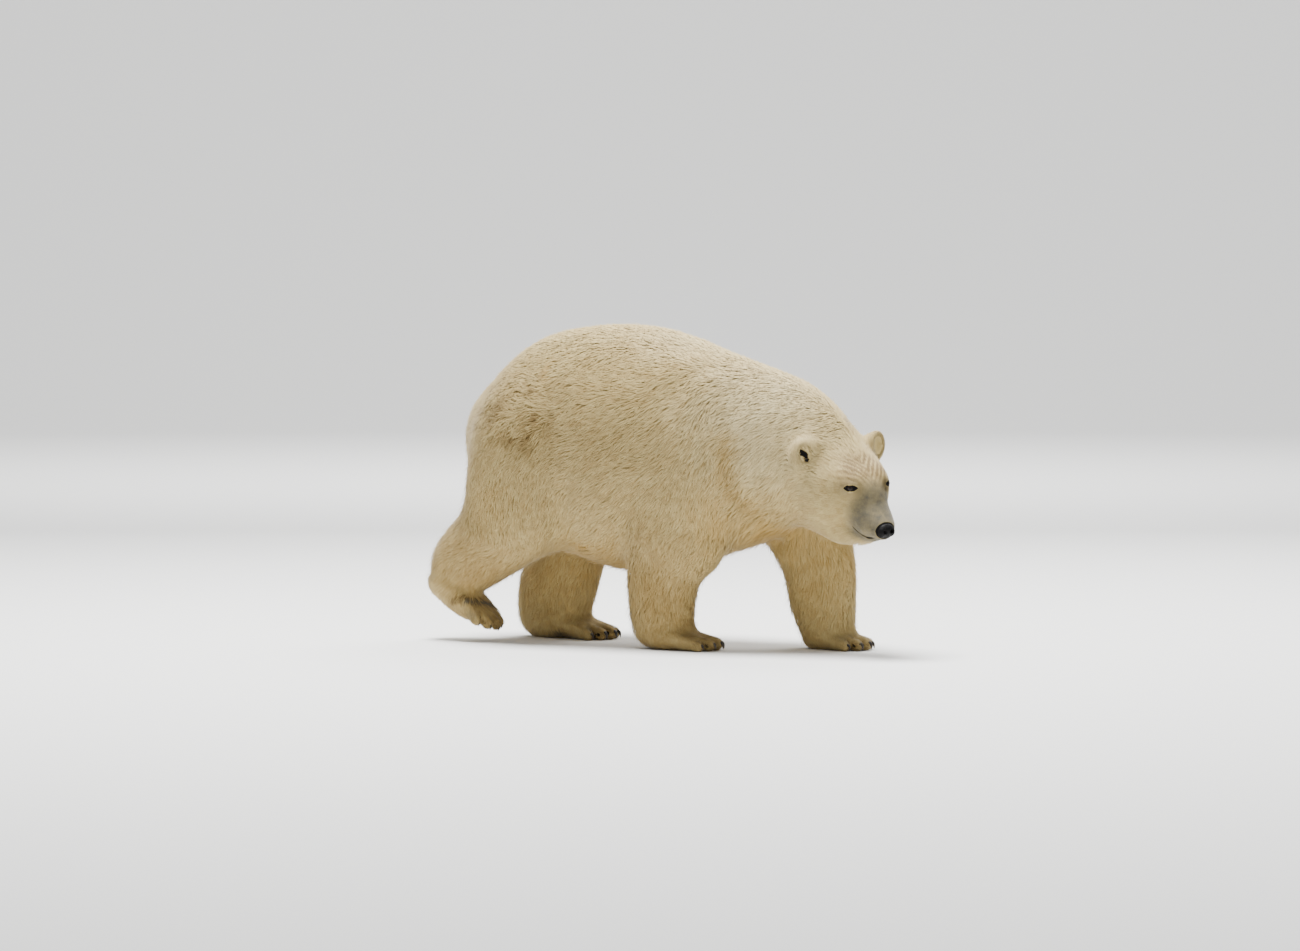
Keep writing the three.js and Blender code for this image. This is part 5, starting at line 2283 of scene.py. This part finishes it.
# ---- pieces that geometry nodes repeat
class Repeater:
    """A geometry-nodes tree that sets one small shape on many points."""

    def __init__(self, name: str, sizes: dict[str, float], seed: int) -> None:
        """Starts the tree with a named input for each size.

        Args:
            name: The tree's name.
            sizes: The inputs' names and values.
            seed: What fixes its random draws.
        """
        self.tree = bpy.data.node_groups.new(name, "GeometryNodeTree")
        face = self.tree.interface
        face.new_socket("Points", in_out="INPUT", socket_type="NodeSocketGeometry")
        self.inputs = {"Seed": seed, **sizes}
        for size, value in self.inputs.items():
            kind = "NodeSocketInt" if isinstance(value, int) else "NodeSocketFloat"
            face.new_socket(size, in_out="INPUT", socket_type=kind)
        face.new_socket("Mesh", in_out="OUTPUT", socket_type="NodeSocketGeometry")
        self.maker = NodeMaker.of(self.tree)
        self.start = self.maker.node("NodeGroupInput").socket.node

    def size(self, name: str) -> Value:
        """Gives one of the named inputs."""
        return Value(self.maker, self.start.outputs[name])

    def trait(self, name: str) -> Value:
        """Gives a named vector that the points carry."""
        kind = {"data_type": "FLOAT_VECTOR"}
        return self.maker.node("GeometryNodeInputNamedAttribute", kind, {"Name": name})

    def taper(self, curve: Value, root: Value, sharp: float, left: float, sides: int) -> Value:
        """Turns a curve into a closed tapering tube that remembers how far down it is.

        Args:
            curve: The tube's middle line.
            root: Its radius at the root.
            sharp: How late it narrows.
            left: The share of the radius left at the tip.
            sides: Faces round it.

        Returns:
            The tube's mesh.
        """
        make = self.maker.node
        factor = make("GeometryNodeSplineParameter")
        curve = make(
            "GeometryNodeStoreNamedAttribute", {"data_type": "FLOAT", "domain": "POINT"},
            {"Geometry": curve, "Name": "down", "Value": factor},
        )
        radius = root * (1.0 - factor.math("POWER", sharp) * (1.0 - left))
        ring = make("GeometryNodeCurvePrimitiveCircle", {}, {"Resolution": sides, "Radius": 1.0})
        inputs = {"Curve": curve, "Profile Curve": ring, "Scale": radius, "Fill Caps": True}
        return make("GeometryNodeCurveToMesh", {}, inputs)

    def run(
        self,
        name: str,
        points: Array,
        traits: dict[str, Array],
        shape: Value,
        rotation: Value,
        scale: Value,
        material: bpy.types.Material,
    ) -> bpy.types.Object:
        """Ends the tree, runs it on points and gives its plain mesh as a piece.

        Args:
            name: The piece's name.
            points: Where the shapes stand, in metres.
            traits: Named vectors that the points carry.
            shape: The shape to set on each.
            rotation: How each is turned.
            scale: How large each is.
            material: Its finish.

        Returns:
            The piece.
        """
        make = self.maker.node
        many = make(
            "GeometryNodeInstanceOnPoints", {},
            {"Points": self.size("Points"), "Instance": shape, "Rotation": rotation, "Scale": scale},
        )
        mesh = make("GeometryNodeRealizeInstances", {}, {"Geometry": many})
        mesh = make("GeometryNodeSetShadeSmooth", {}, {"Geometry": mesh})
        mesh = make("GeometryNodeSetMaterial", {}, {"Geometry": mesh, "Material": material})
        make("NodeGroupOutput", {}, {"Mesh": mesh})
        seeds = drawn(name + "_points", points, np.zeros((0, 3), int))
        for trait, values in traits.items():
            carry(seeds, trait, "FLOAT_VECTOR", values)
        carrier = placed(name + "_points", seeds)
        modifier = carrier.modifiers.new(name, "NODES")
        modifier.node_group = self.tree
        for item in self.tree.interface.items_tree:
            if item.in_out == "INPUT" and item.name in self.inputs:
                modifier[item.identifier] = self.inputs[item.name]
        view = bpy.context.evaluated_depsgraph_get()
        made = carrier.evaluated_get(view)
        final = bpy.data.meshes.new_from_object(made, preserve_all_data_layers=True, depsgraph=view)
        carrier.modifiers.clear()
        bpy.data.objects.remove(carrier)
        final.name = name
        LOG.info("%s: %d faces", name, len(final.polygons))
        return placed(name, final)


@dataclass
class Claws:
    """The five claws of one foot."""

    foot: Foot
    name: str
    root_radius: float = 0.0082
    size: float = 1.0  # smaller where toe fur hides the roots

    # The claw's middle line from the floor under a toe's end, x ahead and z up, in metres.
    ROOT = (0.004, 0, 0.028)
    BACK = (0.033, 0, 0.042)
    TIP = (0.031, 0, 0.006)

    def make(self, material: bpy.types.Material) -> bpy.types.Object:
        """Builds the claws along their curve.

        Args:
            material: The horn.

        Returns:
            The claws as one piece.
        """
        pose = self.foot.pose
        repeater = Repeater("claw_row", {"Root radius": self.root_radius}, SEED)
        line = {"Resolution": 14, "Start": self.ROOT, "Middle": self.BACK, "End": self.TIP}
        curve = repeater.maker.node("GeometryNodeCurveQuadraticBezier", {}, line)
        claw = repeater.taper(curve, repeater.size("Root radius"), 1.9, 0.13, 14)
        toes = np.array([(x, y, 0) for x, y in zip(Foot.TOE_X, Foot.TOE_Y)], float)
        turns = []
        for _, y, _ in toes:
            axes = pose.axes @ spin("z", math.degrees(math.atan2(0.05 * y, 40)))
            turns.append(self.euler(axes))
        sizes = np.array(Foot.TOE_RADIUS) / max(Foot.TOE_RADIUS) * pose.scale * self.size
        traits = {"turn": np.array(turns), "size": np.repeat(sizes, 3)}
        rotation = repeater.maker.node("FunctionNodeEulerToRotation", {}, {"Euler": repeater.trait("turn")})
        points = to_metres(pose.outside(toes))
        return repeater.run(self.name, points, traits, claw, rotation, repeater.trait("size"), material)

    @staticmethod
    def euler(axes: Array) -> tuple[float, float, float]:
        """Turns a matrix into x, y and z angles."""
        pitch = math.asin(max(-1.0, min(1.0, -axes[2, 0])))
        return math.atan2(axes[2, 1], axes[2, 2]), pitch, math.atan2(axes[1, 0], axes[0, 0])


@dataclass
class Whiskers:
    """Short sparse whiskers on both sides of the muzzle."""

    skin: Skin
    rows: int = 3
    columns: int = 5
    length: float = 0.042
    root_radius: float = 0.0004

    def make(self, material: bpy.types.Material) -> bpy.types.Object:
        """Builds the whiskers, each a little different.

        Args:
            material: The hair.

        Returns:
            The whiskers as one piece.
        """
        pose = self.skin.body.head.POSE
        places = [(316 - 12 * c - 4 * r, s * (38 + 3.6 * c), -96 - 10 * r)
                  for s in (-1, 1) for r in range(self.rows) for c in range(self.columns)]
        points = self.skin.settle(pose.outside(np.array(places, float)), 5, 20.0)
        _, outward = Face.slope(points, self.skin.distance, 3.0)
        back = np.array([-1.0, 0.0, -0.35]) @ pose.axes.T
        aims = unit(unit(outward) + back * 1.1)
        repeater = Repeater("whisker_row", {"Length": self.length, "Root radius": self.root_radius}, SEED)
        make = repeater.maker.node
        length = repeater.size("Length")
        tip = make("ShaderNodeCombineXYZ", {}, {"X": length * 0.22, "Y": 0.0, "Z": length})
        middle = make("ShaderNodeCombineXYZ", {}, {"X": 0.0, "Y": 0.0, "Z": length * 0.6})
        line = {"Resolution": 8, "Start": (0, 0, -0.002), "Middle": middle, "End": tip}
        curve = make("GeometryNodeCurveQuadraticBezier", {}, line)
        hair = repeater.taper(curve, repeater.size("Root radius"), 1.0, 0.2, 5)
        aim = repeater.trait("aim")
        seed = repeater.size("Seed")
        sway = {0: (-0.25,) * 3, 1: (0.25,) * 3, "Seed": seed}
        swirl = make("FunctionNodeRandomValue", {"data_type": "FLOAT_VECTOR"}, sway)
        bent = make("ShaderNodeVectorMath", {"operation": "ADD"}, {0: aim, 1: swirl})
        rotation = make("FunctionNodeAlignRotationToVector", {"axis": "Z"}, {"Vector": bent})
        grown = make("FunctionNodeRandomValue", {"data_type": "FLOAT"}, {2: 0.6, 3: 1.15, "Seed": seed}, 1)
        return repeater.run("whiskers", to_metres(points), {"aim": aims}, hair, rotation, grown, material)


# ---- nose and eyes
@dataclass
class Nose:
    """The nose leather with its nostrils and the furrow between them."""

    body: BodyForm
    cell: float = 1.3

    def distance(self, own: Array) -> Array:
        """Gives the distance of points in the head's frame from the nose.

        Args:
            own: Points of the head's frame.

        Returns:
            Distances, negative inside.
        """
        x, y, z = own.T
        side = mirrored(own)
        pad = Swelling(tuple(Face.NOSE_AT), tuple(Face.NOSE_HALVES - 0.5))
        wing = Swelling((358, 19, -92), (15, 13, 17), 10, 25)
        d = blend(pad.distance(own), wing.distance(side), 7)
        nostril = Limb([
            (386, 8.5, -83, 5, 5, 6.5), (371, 13, -83, 6, 6, 7.5),
            (360, 24, -86, 4.2, 4, 4.5), (352, 33, -93, 2.2, 2.2, 2.4),
        ])
        d = carve(d, nostril.distance(side), 2.6)
        furrow = 1.9 * bell(y / 1.7) * ease(-88, -98, z) * (x > 350)
        dimple = 0.8 * bell(y / 5) * ease(-92, -84, z) * (x > 355)
        return d + furrow + dimple + 0.25 * noise(own, 5.0, 51)

    def make(self) -> bpy.types.Object:
        """Builds the nose's mesh.

        Returns:
            The nose's object.
        """
        low = Face.NOSE_AT - Face.NOSE_HALVES - 4
        count = np.ceil((Face.NOSE_HALVES * 2 + 10) / self.cell).astype(int)
        values = self.distance(lattice(low, count, self.cell)).reshape(count)
        points, quads = surface(values, 20.0)
        points = self.body.head.POSE.outside(points * self.cell + low)
        mesh = drawn("nose_leather", to_metres(points), quads)
        smoothed(mesh)
        return placed("nose_leather", mesh)


@dataclass
class Eye:
    """One eyeball with the bulge of its cornea."""

    seat: EyeSeat
    name: str
    sink: float = 0.2  # how much smaller the ball is than its solid
    bulge: float = 0.9  # of the cornea

    def make(self) -> bpy.types.Object:
        """Builds the eyeball's mesh in its seat.

        Returns:
            The eyeball's object.
        """
        mesh = bpy.data.meshes.new(self.name)
        ball = bmesh.new()
        bmesh.ops.create_uvsphere(ball, u_segments=40, v_segments=28, radius=1.0)
        ball.to_mesh(mesh)
        ball.free()
        aims = Skin.read(mesh.vertices, "co", 3)
        reach = self.seat.radius - self.sink + self.bulge * ease(0.80, 1.0, aims[:, 2])
        points = aims * reach[:, None]
        mesh.vertices.foreach_set("co", to_metres(self.seat.middle + points @ self.seat.axes.T).ravel())
        smoothed(mesh)
        if np.linalg.det(self.seat.axes) < 0:
            mesh.flip_normals()
        mesh.update()
        return placed(self.name, mesh)

    def finish(self) -> EyeFinish:
        """Gives the eye's finish, aimed the way it looks."""
        return EyeFinish(self.name, tuple(to_metres(self.seat.middle)), tuple(self.seat.axes[:, 2]))


# ---- the studio
@dataclass
class Studio:
    """Floor, light and camera."""

    azimuth: float = 28.0
    distance: float = 18.0
    height: float = 1.5
    focal: float = 4500.0  # in pixels of the whole picture
    width: float = 1300.0
    horizon: float = 270.0
    middle: float = 475.5
    sensor: float = 36.0  # millimetres
    reach: float = 200.0  # nothing farther away is drawn
    glow: float = 0.55  # of the pale surroundings
    lamps: tuple[tuple[Numbers, float, float], ...] = (
        ((-1.0, -0.5, 10.0), 5.0, 3300.0),
        ((6.5, -5.0, 5.0), 4.0, 60.0),
        ((0.5, 6.0, 8.0), 6.0, 700.0),
    )
    backdrop_lamp: tuple[Numbers, float, float] = ((-5.0, 9.5, 11.0), 10.0, 5000.0)
    aim: Numbers = (0.0, 0.0, 0.6)
    backdrop_aim: Numbers = (-16.0, 30.0, 5.0)

    def camera(self) -> None:
        """Sets the camera."""
        a = math.radians(self.azimuth)
        data = bpy.data.cameras.new("camera")
        data.sensor_width = self.sensor
        data.lens = self.focal / self.width * self.sensor
        data.clip_end = self.reach
        camera = placed("camera", data)
        ahead, aside = math.sin(a) * self.distance, -math.cos(a) * self.distance
        camera.location = (ahead - CENTRE[0] / 1000, aside, self.height)
        pitch = math.atan2(self.middle - self.horizon, self.focal)
        camera.rotation_euler = (math.pi / 2 - pitch, 0.0, a)
        bpy.context.scene.camera = camera

    def light(self) -> None:
        """Sets the soft lamps and the pale surroundings."""
        world = bpy.data.worlds.new("surroundings")
        world.use_nodes = True
        maker = NodeMaker.of(world.node_tree)
        glow = maker.node("ShaderNodeBackground", {}, {"Color": colour(240, 241, 243), "Strength": self.glow})
        maker.node("ShaderNodeOutputWorld", {}, {"Surface": glow})
        bpy.context.scene.world = world
        lamps = [(*lamp, self.aim) for lamp in self.lamps] + [(*self.backdrop_lamp, self.backdrop_aim)]
        for i, (at, size, power, aim) in enumerate(lamps):
            data = bpy.data.lights.new(f"lamp_{i + 1}", "AREA")
            data.shape, data.size, data.energy = "DISK", size, power
            lamp = placed(data.name, data)
            lamp.location = at
            to = np.array(aim) - at
            tilt = math.atan2(math.hypot(to[0], to[1]), -to[2])
            lamp.rotation_euler = (tilt, 0.0, math.atan2(-to[0], to[1]))

    def floor(self) -> bpy.types.Object:
        """Builds the floor, which curves up far away on every side.

        Returns:
            The floor's object.
        """
        outline = [(0.0, 0.0), (12.0, 0.0), (24.0, 0.0)]
        outline += [(24 + 12 * math.sin(t), 12 - 12 * math.cos(t)) for t in np.linspace(0.1, 1.3, 10)]
        work = bmesh.new()
        around = 64
        turns = [(math.cos(a), math.sin(a)) for a in np.arange(around) * math.tau / around]
        rings = [[work.verts.new((r * x, r * y, z)) for x, y in turns] for r, z in outline[1:]]
        centre = work.verts.new((0, 0, 0))
        for i in range(around):
            j = (i + 1) % around
            work.faces.new((centre, rings[0][i], rings[0][j]))
            for inner, outer in zip(rings[:-1], rings[1:]):
                work.faces.new((inner[i], outer[i], outer[j], inner[j]))
        mesh = bpy.data.meshes.new("floor")
        work.to_mesh(mesh)
        work.free()
        smoothed(mesh)
        mesh.materials.append(FloorFinish().make())
        return placed("floor", mesh)


# ---- putting it together
def flesh_nodes() -> list[str]:
    """Names the CAD nodes that the skin stands for."""
    others = ("claw_", "nose", "eye_")
    return [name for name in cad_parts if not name.startswith(others)]


def settle_piece(piece: bpy.types.Object) -> None:
    """Says what a piece rides on."""
    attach(piece, "root")


def main() -> None:
    """Builds the bear and its studio."""
    logging.basicConfig(level=logging.INFO, format="%(relativeCreated)6.0f ms %(message)s")
    studio = Studio()
    studio.camera()
    studio.light()
    studio.floor()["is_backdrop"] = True

    body = BodyForm()
    face = Face(body)
    around = Surroundings(body)
    skin = Skin(body, face, around)
    piece = skin.make()
    piece.data.materials.append(CoatFinish(name="skin", is_skin=True).make())
    carry(piece.data, "marks", "FLOAT_COLOR", markings(body, face, skin.vertices))
    carry(piece.data, "bare", "FLOAT", face.bare(skin.vertices))
    settle_piece(piece)
    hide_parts(*flesh_nodes())

    coat_finish = CoatFinish().make()
    for piece in Coat(body, face, around, skin).make():
        piece.data.materials.append(coat_finish)
        settle_piece(piece)

    horn = ClawFinish().make()
    for foot, place in zip(body.feet, LEGS):
        size = HIDDEN_CLAW if place is Place.NEAR_HIND else 1.0
        piece = Claws(foot, f"claws_{place.value}", size=size).make(horn)
        settle_piece(piece)
        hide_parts(*(f"claw_{place.value}_{i + 1}" for i in range(TOES)))

    piece = Nose(body).make()
    piece.data.materials.append(NoseFinish().make())
    settle_piece(piece)
    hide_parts("nose")
    for seat, node in zip(face.eyes, ("eye_left", "eye_right")):
        eye = Eye(seat, node + "_ball")
        piece = eye.make()
        piece.data.materials.append(eye.finish().make())
        settle_piece(piece)
        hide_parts(node)
    piece = Whiskers(skin).make(WhiskerFinish().make())
    settle_piece(piece)

    boxes = {"solids": SOLIDS_BOX, "visual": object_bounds()}
    {name: [list(corner) for corner in box] for name, box in boxes.items()}


if __name__ == "__main__":
    main()
